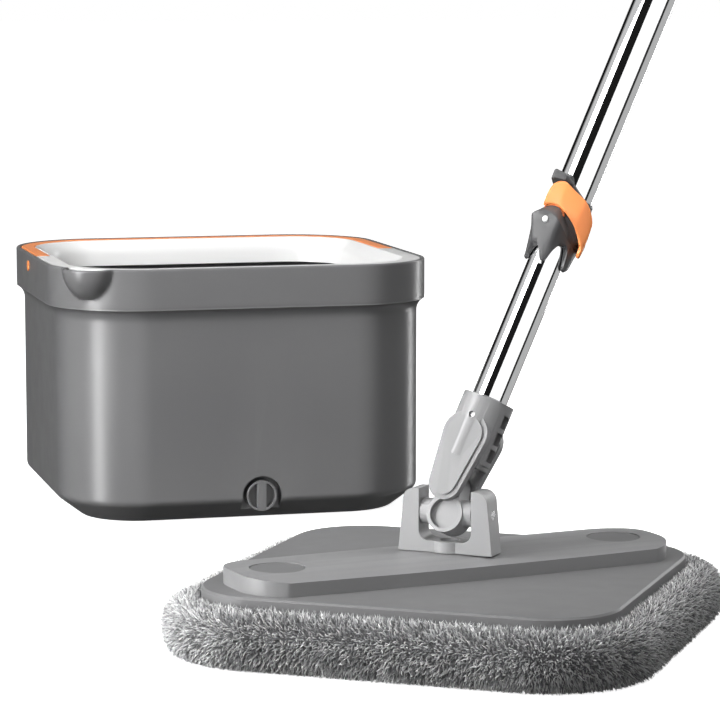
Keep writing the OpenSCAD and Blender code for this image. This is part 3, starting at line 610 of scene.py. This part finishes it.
def make_basin():
    """White insert: the bowl's rounded lip all round, the wide flange in front and a low ledge behind."""
    bail_in = BAIL_HIGH.x / MM - 10.4 - CX       # inner edge of the handle's bar
    channel = bail_in - 0.4
    top = RIM_Z - 0.6
    low = BASIN_LOW.z / MM + 5.5
    split = BAIL_LOW.y / MM - 0.4
    bowl_low = channel - 12
    lip = [(channel, top - 9.5), (channel, top - 0.5), (channel - 0.5, top), (channel - 1.6, top),
           (channel - 8.5, top - 7.0), (bowl_low, low), (bowl_low + 1.6, low), (channel - 5.4, top - 9)]
    lip = fillet(lip + [lip[0]], [0.3, 0.4, 0.5, 9, 4, 0.5, 0.5], 6)[:-1]
    path = sorted_path(rounded_path(CX, CY, 36, 10))
    bm = bmesh.new()
    sweep(bm, lip, path, True)
    half = [p for p in path if at(p, channel, 0)[1] < split]
    # the front flange runs from the right end of the cut, round the front, to the left end
    start = [p for p in half if p[2] >= 180] + [p for p in half if p[2] < 180]
    left, right = (-CX, split, 180), (CX, split, 360)
    start = [left] + [p for p in start if p[2] >= 180 and not (p[2] == 180 and p[1] > split)] + [right]
    flange = fillet([(channel - 0.8, top), (CORNER - 3.8, top), (CORNER - 3.4, top - 0.4), (CORNER - 3.4, top - 2),
                     (channel - 0.8, top - 2)], 0.3, 2)
    rows = [[bm.verts.new(at(p, o, z)) for o, z in flange] for p in start]
    grid_faces(bm, rows, False, True)
    bm.faces.new(rows[0])
    bm.faces.new(list(reversed(rows[-1])))
    # ledge under the handle, behind the slots of its hubs
    behind = BAIL_LOW.y / MM + 43
    ledge_path = [(CX, behind, 0)] + [p for p in path if p[1] >= behind or (p[2] > 0 and p[2] < 180)]
    ledge_path = [p for p in ledge_path if not (p[2] >= 180 and p[1] < behind)]
    ledge_path += [(-CX, behind, 180)]
    ledge_z = BAIL_HIGH.z / MM - 8.0
    ledge = [(channel - 0.5, ledge_z), (CORNER - 3.4, ledge_z), (CORNER - 3.4, ledge_z - 2), (channel - 0.5, ledge_z - 2)]
    ledge_path = [p for p in ledge_path if p[2] <= 180]
    rows = [[bm.verts.new(at(p, o, z)) for o, z in ledge] for p in ledge_path]
    grid_faces(bm, rows, False, True)
    bm.faces.new(rows[0])
    bm.faces.new(list(reversed(rows[-1])))
    obj = link("basin_insert", bm, sharp=40)
    dress(obj, "basin_plastic")
    return place(obj, "bucket", "basin_plastic", "basin")


def make_bail():
    """The handle's flat bar bent round the back of the rim, with a hub at each end."""
    out = BAIL_HIGH.x / MM - CX
    inner = out - 10.4
    top, low = BAIL_HIGH.z / MM, BAIL_HIGH.z / MM - 7.6
    end_y = BAIL_LOW.y / MM
    pivot = Vector(JOINTS["bail_swing"]["pos_m"]) / MM
    profile = fillet([(out - 4, top), (out, top), (out, low), (inner, low), (inner, top), (out - 4, top)],
                     [1.4, 0.8, 0.8, 1.4], 4)[:-1]
    path = [p for p in sorted_path(rounded_path(CX, CY, 36, 10)) if p[2] <= 180 and p[1] >= -CY and
            not (p[2] == 180 and p[1] < end_y)]
    path = [(CX, end_y, 0)] + [(CX, end_y + (CY - end_y) * k / 8, 0) for k in range(1, 8)] + \
        [p for p in path if not (p[2] == 0 and p[1] < CY)]
    path += [(-CX, end_y, 180)]
    bm = bmesh.new()
    rows = [[bm.verts.new(at(p, o, z)) for o, z in profile] for p in path]
    grid_faces(bm, rows, False, True)
    bm.faces.new(rows[0])
    bm.faces.new(list(reversed(rows[-1])))
    for side in (-1, 1):
        hub = []
        for o, r in ((inner + 0.2, 6.2), (inner + 0.9, 7.0), (out - 0.9, 7.0), (out - 0.2, 6.2)):
            ring = []
            for k in range(40):
                a = 2 * math.pi * k / 40
                z = min(pivot.z + r * math.sin(a), low + 1.0)
                ring.append(bm.verts.new((side * (CX + o), pivot.y + r * math.cos(a), z)))
            hub.append(ring)
        grid_faces(bm, hub, False, True)
        bm.faces.new(hub[0])
        bm.faces.new(list(reversed(hub[-1])))
    obj = link("bail_bar", bm, sharp=40)
    dress(obj, "orange_plastic")
    return place(obj, "bail", "orange_plastic", "bail_handle")


# ---------------------------------------------------------------- mop pad

def pad_profile():
    """Half section of the pad: flat foot, rolled edge, and the recess that the plate sits in."""
    out = PLATE_CORNER + PAD_OUT - 4.6
    lip = PLATE_CORNER + 0.6
    return ([(8.0, 0.4)] + [(26.0, 0.4)] + arc(out - 14, 14.6, 14.2, -90, -8, 10) + arc(out - 13.0, 18.6, 13.2, 0, 100, 12)
            + [(lip + 4.0, PAD_H - 4.5), (lip + 0.4, PAD_H - 5.0), (lip, PAD_H - 5.6), (lip, PAD_RECESS), (8.0, PAD_RECESS)])


def make_pad():
    """The pad's body, and over it a pile of separate tufts that leans and clumps at random."""
    rng = np.random.default_rng(11)
    cx, cy = PLATE_HALF_L - PLATE_CORNER, PLATE_HALF_W - PLATE_CORNER
    path = sorted_path(rounded_path(cx, cy, 22, 16))
    profile = refine(pad_profile(), 4.0)
    bm = bmesh.new()
    rows = sweep(bm, profile, path, False)
    bm.faces.new([r[0] for r in rows])
    bm.faces.new([r[-1] for r in reversed(rows)])
    for v in bm.verts:
        wob = 0.5 * math.sin(v.co.x * 0.11 + 1.3) * math.cos(v.co.y * 0.13) + 0.35 * math.sin(v.co.x * 0.31 + v.co.y * 0.27)
        if v.co.z > 3 and abs(v.co.z - PAD_RECESS) > 0.2:
            v.co.z += wob * 0.6
    body = link("mop_pad_body", bm, plate_matrix(), sharp=60)
    tone = body.data.attributes.new("tone", "FLOAT", "POINT")
    tone.data.foreach_set("value", np.full(len(body.data.vertices), 0.12, np.float32))
    dress(body, "pad_fibre")

    # where the tufts stand: evenly over the visible part of the profile, all the way round
    section = [Vector(p) for p in refine(pad_profile()[1:-2], 0.8)]
    lengths = np.array([(b - a).length for a, b in zip(section, section[1:])])
    total = lengths.sum()
    perimeter_straight = 4 * (cx + cy)
    step = 1.3
    verts, faces, tones_with_painted_shade = [], [], []
    rows_n = int(total / step)
    cum = np.concatenate([[0], np.cumsum(lengths)])
    base_index = 0
    for r in range(rows_n):
        s = (r + 0.5) * total / rows_n
        k = min(int(np.searchsorted(cum, s)) - 1, len(lengths) - 1)
        t = (s - cum[k]) / lengths[k]
        p = section[k].lerp(section[k + 1], t)
        d = (section[k + 1] - section[k]).normalized()
        nrm = Vector((d.y, -d.x))
        around = perimeter_straight + 2 * math.pi * p.x
        n = int(around / step)
        u = (np.arange(n) + rng.random(n) * 0.9 + (r % 2) * 0.5) / n * around
        jitter = rng.normal(0, 0.45, (n, 2))
        for i in range(n):
            point = point_at(u[i] % around, cx, cy, p.x)
            a = math.radians(point[2])
            radial = Vector((math.cos(a), math.sin(a), 0))
            tangent = Vector((-math.sin(a), math.cos(a), 0))
            base = Vector(at(point, p.x, p.y)) + tangent * jitter[i, 0] + Vector((0, 0, jitter[i, 1] * 0.5))
            normal = (radial * nrm.x + Vector((0, 0, nrm.y))).normalized()
            length = 4.0 + 2.0 * rng.random()
            lean = Vector((rng.normal(0, 0.3), rng.normal(0, 0.3), rng.normal(-0.06, 0.24)))
            mid_dir = (normal + lean * 0.55).normalized()
            tip_dir = (normal + lean * 1.35 + Vector((0, 0, -0.18))).normalized()
            root = base - normal * 0.5
            mid = root + mid_dir * length * 0.55
            tip = mid + tip_dir * length * 0.55
            if tip.z < 0.15:
                tip.z = 0.15 + 0.3 * rng.random()
            if mid.z < 0.15:
                mid.z = 0.15 + 0.3 * rng.random()
            w = 0.36 + 0.2 * rng.random()
            side = tangent if abs(normal.z) < 0.95 else Vector((1, 0, 0))
            side = (side - side.dot(mid_dir) * mid_dir).normalized()
            other = mid_dir.cross(side)
            tri = [side, (side * -0.5 + other * 0.87), (side * -0.5 - other * 0.87)]
            for q in tri:
                verts.append(root + q * w)
            for q in tri:
                verts.append(mid + q * w * 0.95)
            verts.append(tip)
            b = base_index
            for m in range(3):
                m2 = (m + 1) % 3
                faces.append((b + m, b + m2, b + 3 + m2, b + 3 + m))
                faces.append((b + 3 + m, b + 3 + m2, b + 6))
            dark = rng.random()
            value = 0.14 + 0.2 * rng.random() if dark < 0.4 else 0.46 + 0.34 * rng.random()
            # Root 0.12 darker as painted shade deep in the pile, tip 0.1 lighter as a painted highlight.
            tones_with_painted_shade += [value - 0.12] * 3 + [value] * 3 + [value + 0.1]
            base_index += 7
    mesh = bpy.data.meshes.new("mop_pad_pile")
    mesh.from_pydata([v[:] for v in verts], [], faces)
    mesh.transform(plate_matrix())
    mesh.polygons.foreach_set("use_smooth", [True] * len(mesh.polygons))
    pile = bpy.data.objects.new("mop_pad_pile", mesh)
    bpy.context.scene.collection.objects.link(pile)
    attr = mesh.attributes.new("tone", "FLOAT", "POINT")
    attr.data.foreach_set("value", np.array(tones_with_painted_shade, np.float32))
    dress(pile, "pad_fibre")
    place(body, "mop_base", "pad_fibre", "mop_pad")
    place(pile, "mop_base", "pad_fibre")
    return pile


def point_at(u, cx, cy, out):
    """The path point a distance u round a rounded rectangle whose corner arcs have radius out."""
    quarter = math.pi * out / 2
    sides = [(cx, cy, 0, -cx, cy, 2 * cx), (-cx, cy, 90, -cx, -cy, 2 * cy), (-cx, -cy, 180, cx, -cy, 2 * cx),
             (cx, -cy, 270, cx, cy, 2 * cy)]
    for x, y, a, nx, ny, straight in sides:
        if u < quarter:
            return (x, y, a + 90 * u / quarter)
        u -= quarter
        if u < straight:
            t = u / straight
            return (x + (nx - x) * t, y + (ny - y) * t, a + 90)
        u -= straight
    return (cx, cy, 0)


# ---------------------------------------------------------------- pole, collar and lever

def make_tubes():
    """The polished tubes as fine lathed shells with rolled ends."""
    for node, body, r, wall in (("lower_tube", "lower_pole", 11.0, 0.5), ("upper_tube", "upper_pole", 12.5, 0.5)):
        along = sorted(((Vector(v.co) - ROLL_POINT).dot(POLE_AXIS) / MM) for v in NODES[node].data.vertices)
        z0, z1 = along[0], along[-1]
        bm = bmesh.new()
        lathe(bm, fillet([(r, (z0 + z1) / 2), (r, z1), (r - wall, z1), (r - wall, z0), (r, z0), (r, (z0 + z1) / 2)],
                         0.2, 2)[:-1], 128, True)
        obj = link(node + "_shell", bm, pole_matrix())
        dress(obj, "tube_chrome")
        place(obj, body, "tube_chrome", node)


def ray(plan, angle):
    """Distance from the pole's axis to a convex plan, at an angle from the front towards +X."""
    d = Vector((math.sin(angle), -math.cos(angle)))
    best = 1e9
    for a, b in zip(plan, plan[1:] + plan[:1]):
        e = Vector(b) - Vector(a)
        n = Vector((e.y, -e.x))
        if n.dot(Vector(a)) < 0:
            n = -n
        if n.dot(d) > 1e-9:
            best = min(best, n.dot(Vector(a)) / n.dot(d))
    return best


def smooth_ring(values, rounds=6):
    """Averages neighbours round a closed ring."""
    v = np.array(values, float)
    for _ in range(rounds):
        v = 0.25 * np.roll(v, 1) + 0.5 * v + 0.25 * np.roll(v, -1)
    return v


def polar_solid(bm, angles, profiles):
    """Sweeps closed (radius, height) profiles round the pole."""
    rows = [[bm.verts.new((r * math.sin(a), -r * math.cos(a), z)) for r, z in profile]
            for a, profile in zip(angles, profiles)]
    grid_faces(bm, rows, True, True)


def make_collar():
    """Lock collar: a bracket that flares out to a nose in front, a sleeve, and a slanting ring on top."""
    n = 240
    angles = np.linspace(-math.pi, math.pi, n + 1)[:-1]
    deg = np.degrees(angles)
    nose = smooth_ring([ray([(-9.6, -25), (8.4, -25), (15.6, -9), (16.0, 0), (14.0, 9), (8, 20.4), (-8, 20.4),
                             (-14.0, 9), (-15.4, 0), (-15.0, -9)], a) for a in angles])
    inner = smooth_ring([ray([(-9.2, -20.0), (5, -20.0), (13.9, -6), (14.6, 0), (13.6, 9), (9, 19.4), (-9, 19.4),
                              (-13.6, 9), (-14.2, 0), (-13.9, -6)], a) for a in angles])
    slot = np.minimum([ray([(-17, -18.3), (17, -18.3), (17, 18.2), (-17, 18.2)], a) for a in angles], inner - 0.6)
    low = smooth_ring(np.interp(deg, [-180, -160, -125, -98, -80, -58, -46, -36, -28, -20, -12, -6, -1, 3, 10, 17, 22, 27, 33,
                                      40, 50, 60, 68, 76, 90, 110, 140, 160, 180],
                                [4, 6, 8, 2, -0.5, -0.5, 1.2, 5.4, 8.0, 9.0, 9.0, 7.8, 3.6, 1.0, 0.1, 1.0, 3.6, 8.0, 11.6,
                                 13.2, 13.4, 11.0, 6.0, 0.4, -0.8, 2, 9, 6, 4]), 2)
    face = smooth_ring(np.interp(deg, [-180, -150, -120, -90, -66, -45, -30, -17, -8, 0, 8, 16, 28, 43, 66, 90, 120, 150, 180],
                                 [27.6, 22, 15.5, 14.2, 14.5, 17.0, 21.0, 25.4, 27.3, 27.8, 27.4, 25.6, 21.8, 18.2,
                                  14.6, 13.6, 15, 22, 27.6]), 3)
    bm = bmesh.new()
    profiles = []
    for i in range(n):
        z0, z1 = low[i], max(face[i], low[i] + 2.5)
        rise = 6.0 if abs(deg[i]) < 60 else 6.0 - 3.0 * min(1, (abs(deg[i]) - 60) / 30)
        wide = lambda z: 13.9 + (nose[i] - 13.9) * min(max((z - 1.0) / 21.0, 0), 1.1)
        outer = []
        for k in range(7):
            z = z0 + 0.8 + (z1 - z0 - 0.8) * k / 6
            outer.append((wide(z), z))
        clear = LEVER_PIN_Z + math.sqrt(max(10.5 ** 2 - (inner[i] * math.sin(angles[i])) ** 2, 0))
        top = (inner[i], max(min(z1 + rise, clear), z1 + 1.0))
        profile = [(12.0, 15.0), (11.6, z0 + 1.0), (12.0, z0), (wide(z0) - 0.9, z0)] + outer
        profile += [(wide(z1) - 0.5, z1 + 0.7)]
        profile += [(wide(z1) - 0.5 + (top[0] - wide(z1) + 0.5) * t, z1 + 0.7 + (top[1] - 0.6 - z1 - 0.7) * t)
                    for t in (0.35, 0.7, 1.0)]
        profile += [(top[0] - 0.5, top[1]), (slot[i], top[1] - 0.2), (slot[i], 15.0)]
        profiles.append(profile)
    polar_solid(bm, angles, profiles)
    # sleeve under the ring
    edge_x = [-20, -8, -2, 4, 9, 13, 20]
    edge_z = [55.4, 55.4, 54.2, 51.4, 47.4, 44.0, 43.0]
    profiles = [[(12.55, 12.5), (14.0, 12.5), (14.0, np.interp(14 * math.sin(a), edge_x, edge_z) - 1.5),
                 (12.55, np.interp(12.6 * math.sin(a), edge_x, edge_z) - 1.0)] for a in angles]
    polar_solid(bm, angles, profiles)
    # ring: its lower edge follows the lever's round top, its upper edge slants down to the right
    plan = smooth_ring([ray([(-9.2, -21.2), (3.2, -21.2), (13.2, -8), (14.0, 0), (13.4, 8), (8, 16.6), (-8, 16.6),
                             (-13.2, 8), (-13.6, 0), (-12.2, -9)], a) for a in angles], 4)
    profiles = []
    for i, a in enumerate(angles):
        x = plan[i] * math.sin(a)
        under = LEVER_PIN_Z + math.sqrt(max(27.0 ** 2 - (x + 0.5) ** 2, 1))
        crest = np.interp(x, edge_x, edge_z)
        room = min(max((crest - under - 1.0) / 2.0, 0), 1)
        r = 13.5 + (plan[i] - 13.5) * room
        under = min(under, crest - 2.2)
        profiles.append([(12.55, under), (r - 0.4, under), (r, under + 0.4), (r, crest - 1.2), (r - 0.3, crest - 0.5),
                         (r - 0.9, crest), (13.3, crest + 0.3 * room), (12.7, crest + 0.3 * room), (12.55, crest - 0.2)])
    polar_solid(bm, angles, profiles)
    obj = link("lock_collar_body", bm, pole_matrix(COLLAR_Z), sharp=40)
    dress(obj, "collar_plastic")
    return place(obj, "upper_pole", "collar_plastic", "lock_collar")


def make_lever():
    """Orange lever: a band along the front, out to a wing and round the right side, with plates on the pins."""
    # plan position and lower and upper edge of the band
    keys = [(-7.4, -20.6, 31.8, 42.5), (-6.9, -20.6, 31.9, 45.2), (-5.0, -20.6, 33.3, 48.0), (-2.5, -20.6, 34.2, 49.3),
            (0, -20.6, 34.6, 49.8), (2.4, -20.6, 34.4, 49.2), (4.8, -20.0, 33.4, 48.1), (8.2, -18.8, 31.4, 46.4),
            (12, -17.6, 28.6, 44.8), (15.6, -16.2, 25.8, 43.4), (17.8, -14.2, 23.0, 41.6), (20.4, -11.6, 18.8, 38.0),
            (22.6, -8.8, 14.0, 33.6), (22.0, -6.2, 10.8, 30.2), (20.8, -3.4, 9.8, 28), (19.6, -0.4, 10.4, 26),
            (18.0, 3.6, 12.0, 23.8), (16.0, 7.8, 14.0, 23), (13.0, 12.4, 16, 23.6), (9.6, 15.6, 17, 27), (5.5, 17.8, 17, 41),
            (1, 18, 16, 48.4), (-4, 18, 17, 48), (-6.8, 18, 22, 45), (-7.4, 18, 26, 42)]
    pts = [np.array(k, float) for k in keys]
    for _ in range(2):
        new = [pts[0]]
        for a, b in zip(pts, pts[1:]):
            new += [a * 0.75 + b * 0.25, a * 0.25 + b * 0.75]
        pts = new + [pts[-1]]
    thick = 2.5
    bm = bmesh.new()
    rows = []
    for i, q in enumerate(pts):
        a, b = pts[max(i - 1, 0)], pts[min(i + 1, len(pts) - 1)]
        t = Vector((b[0] - a[0], b[1] - a[1])).normalized()
        out = Vector((t.y, -t.x))
        lo, hi = q[2], q[3]
        side = [(0.45 * math.sin(math.pi * k / 8), lo + 1 + (hi - lo - 2) * k / 8) for k in range(9)]
        section = side + arc(-1, hi - 1, 1, 60, 90, 2) + arc(-thick + 1, hi - 1, 1, 90, 180, 3) \
            + arc(-thick + 1, lo + 1, 1, 180, 270, 3) + arc(-1, lo + 1, 1, 270, 330, 2)
        rows.append([bm.verts.new((q[0] + out.x * o, q[1] + out.y * o, z)) for o, z in section])
    grid_faces(bm, rows, False, True)
    bm.faces.new(rows[0])
    bm.faces.new(list(reversed(rows[-1])))
    eye = [(8 * math.cos(a), LEVER_PIN_Z + 8 * math.sin(a)) for a in np.linspace(math.pi, 2 * math.pi, 16)]
    plate = eye + [(6.4, 31), (4.4, 38), (2, 45), (-4.5, 45), (-6.6, 40)]
    for y0, y1 in ((-15.4, -18.1), (15.4, 18.0)):
        prism(bm, plate, y0, y1, 0.5, 2)
    obj = link("lock_lever_band", bm, pole_matrix(COLLAR_Z), sharp=50)
    dress(obj, "orange_plastic")
    return place(obj, "lever", "orange_plastic", "lock_lever")


def make_pin_heads():
    """Domed heads on the lever's pins."""
    bm = bmesh.new()
    for side, face in ((-1, 26.0), (1, 20.6)):
        rings = []
        for r, y in ((1.95, 14.2), (1.95, face + 0.1), (1.8, face + 0.5), (1.2, face + 0.8), (0.3, face + 0.95)):
            rings.append([bm.verts.new((r * math.cos(a), side * y, LEVER_PIN_Z + r * math.sin(a)))
                          for a in np.linspace(0, 2 * math.pi, 25)[:-1]])
        grid_faces(bm, rings, False, True)
        bm.faces.new(rings[0])
        bm.faces.new(list(reversed(rings[-1])))
    obj = link("lever_pin_heads", bm, pole_matrix(COLLAR_Z))
    dress(obj, "nylon")
    return place(obj, "upper_pole", "nylon", "lever_pins")


# ---------------------------------------------------------------- stage

def area_light(name, location, target, size, size_y, power, spread=None, mirrored=True):
    data = bpy.data.lights.new(name, "AREA")
    data.shape = "RECTANGLE"
    data.size, data.size_y = size, size_y
    data.energy = power
    if spread:
        data.spread = spread
    obj = bpy.data.objects.new(name, data)
    bpy.context.scene.collection.objects.link(obj)
    obj.location = location
    obj.rotation_euler = (Vector(target) - Vector(location)).to_track_quat("-Z", "Y").to_euler()
    obj.visible_camera = False
    obj.visible_glossy = mirrored
    return obj


def curved_card(name, start, end, value, radius=3.0, length=5.0):
    """A curved board round the pole, between two angles from the camera's side, that only reflections see."""
    middle = ROLL_POINT + POLE_AXIS * 0.35
    to_camera = (Vector(CAMERA) - middle).normalized()
    front = (to_camera - POLE_AXIS * to_camera.dot(POLE_AXIS)).normalized()
    right = POLE_AXIS.cross(front)
    bm = bmesh.new()
    rows = []
    steps = max(2, int(abs(end - start) / 4))
    for k in range(steps + 1):
        a = math.radians(start + (end - start) * k / steps)
        d = front * math.cos(a) + right * math.sin(a)
        rows.append([bm.verts.new(middle + d * radius + POLE_AXIS * length * (t - 0.5)) for t in (0, 1)])
    grid_faces(bm, rows, False, False)
    mesh = bpy.data.meshes.new(name)
    bm.to_mesh(mesh)
    bm.free()
    obj = bpy.data.objects.new(name, mesh)
    bpy.context.scene.collection.objects.link(obj)
    mat = bpy.data.materials.new(name)
    mat.use_nodes = True
    nodes, links = mat.node_tree.nodes, mat.node_tree.links
    nodes.clear()
    emit = nodes.new("ShaderNodeEmission")
    emit.inputs["Color"].default_value = (value, value, value, 1)
    out = nodes.new("ShaderNodeOutputMaterial")
    links.new(emit.outputs[0], out.inputs["Surface"])
    mesh.materials.append(mat)
    obj.visible_camera = False
    obj.visible_diffuse = False
    obj.visible_shadow = False
    obj.visible_transmission = False
    return obj


def make_stage():
    scene = bpy.context.scene
    world = bpy.data.worlds.new("studio")
    scene.world = world
    world.use_nodes = True
    nodes, links = world.node_tree.nodes, world.node_tree.links
    nodes.clear()
    out = nodes.new("ShaderNodeOutputWorld")
    seen = nodes.new("ShaderNodeBackground")
    seen.inputs["Color"].default_value = (1, 1, 1, 1)
    seen.inputs["Strength"].default_value = 1.0
    light = nodes.new("ShaderNodeBackground")
    coords = nodes.new("ShaderNodeTexCoord")
    split = nodes.new("ShaderNodeSeparateXYZ")
    links.new(coords.outputs["Generated"], split.inputs[0])
    height = nodes.new("ShaderNodeMapRange")
    height.inputs["From Min"].default_value = -0.35
    height.inputs["From Max"].default_value = 0.6
    height.inputs["To Min"].default_value = 0.10
    height.inputs["To Max"].default_value = 0.42
    links.new(split.outputs["Z"], height.inputs["Value"])
    links.new(height.outputs[0], light.inputs["Strength"])
    path = nodes.new("ShaderNodeLightPath")
    mix = nodes.new("ShaderNodeMixShader")
    links.new(path.outputs["Is Camera Ray"], mix.inputs[0])
    links.new(light.outputs[0], mix.inputs[1])
    links.new(seen.outputs[0], mix.inputs[2])
    links.new(mix.outputs[0], out.inputs["Surface"])

    bm = bmesh.new()
    bmesh.ops.create_grid(bm, x_segments=2, y_segments=2, size=30)
    mesh = bpy.data.meshes.new("floor")
    bm.to_mesh(mesh)
    bm.free()
    floor = bpy.data.objects.new("floor", mesh)
    scene.collection.objects.link(floor)
    mat, fn, fl, bsdf = new_material("pale_floor")
    bsdf.inputs["Base Color"].default_value = (0.8, 0.8, 0.8, 1)
    bsdf.inputs["Roughness"].default_value = 0.95
    bsdf.inputs["Specular IOR Level"].default_value = 0.0
    bsdf.inputs["Emission Color"].default_value = (1, 1, 1, 1)
    bsdf.inputs["Emission Strength"].default_value = 0.86
    mesh.materials.append(mat)
    floor.visible_diffuse = False
    floor.visible_glossy = False

    middle = (0.05, -0.3, 0.15)
    area_light("strip_left", (-1.35, -0.66, 0.25), (-0.12, -0.1, 0.1), 0.3, 1.7, 26)
    area_light("near_left", (-0.78, -0.62, 0.42), (-0.08, -0.2, 0.08), 0.5, 0.8, 8.5)
    area_light("top", (0.0, -0.45, 1.9), (0.05, -0.3, 0), 2.0, 1.4, 19)
    area_light("fill_front", (-0.9, -3.0, 0.9), middle, 1.4, 1.0, 1.5, mirrored=False)
    area_light("pole_fill", (-0.9, -1.9, 0.6), (0.11, -0.52, 0.27), 0.3, 0.3, 0.22, math.radians(22), False)
    area_light("pole_top", (1.2, -0.9, 1.3), (0.11, -0.52, 0.27), 0.3, 0.3, 0.3, math.radians(24), False)
    area_light("rim_right", (1.42, 0.66, 0.3), (0.12, -0.1, 0.1), 0.14, 1.5, 7)
    # boards that the polished tubes mirror: dark, white, and thin dark lines
    curved_card("board_dark", -62, -9, 0.012)
    curved_card("board_white", -9, 68, 1.35)
    curved_card("board_line_right", 73, 80, 0.01)
    curved_card("board_line_left", -152, -122, 0.004)
    curved_card("board_soft_left", -112, -62, 0.62, radius=3.4)
    curved_card("board_soft_right", 84, 150, 0.5, radius=3.4)


CAMERA = (-0.47882, -2.25217, 0.39076)


def make_camera():
    data = bpy.data.cameras.new("camera")
    data.sensor_width = 36
    data.lens = 149.72
    data.clip_start = 0.05
    data.clip_end = 50
    cam = bpy.data.objects.new("camera", data)
    bpy.context.scene.collection.objects.link(cam)
    cam.location = CAMERA
    cam.rotation_euler = (math.pi / 2 - 0.1244, 0, -0.2576)
    bpy.context.scene.camera = cam


# ---------------------------------------------------------------- build

make_camera()
make_stage()
bpy.context.scene.view_settings.view_transform = "Standard"

for piece in frame["record"]["subparts"]:
    dress(NODES[piece["node"]], piece["material_slot"])

make_tub()
make_basin()
make_bail()
make_pad()
make_tubes()
make_collar()
make_lever()
make_pin_heads()
for node_name, width in (("head_plate", 0.9), ("head_bar", 1.0), ("disc_caps", 0.5), ("yoke", 1.1),
                         ("cross_block", 0.9), ("pole_socket", 1.0), ("turntable", 0.5), ("drain_plug", 0.7),
                         ("hub_cap", 1.0), ("grip_sleeve", 0.6), ("end_cap", 1.5), ("handle_pins", 0.25),
                         ("ear_pin", 0.4), ("roll_pin", 0.4), ("collar_liner", 0.2), ("guide_bush", 0.4)):
    shell = rounded_copy(node_name, width)
    dress(shell, shell["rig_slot"])
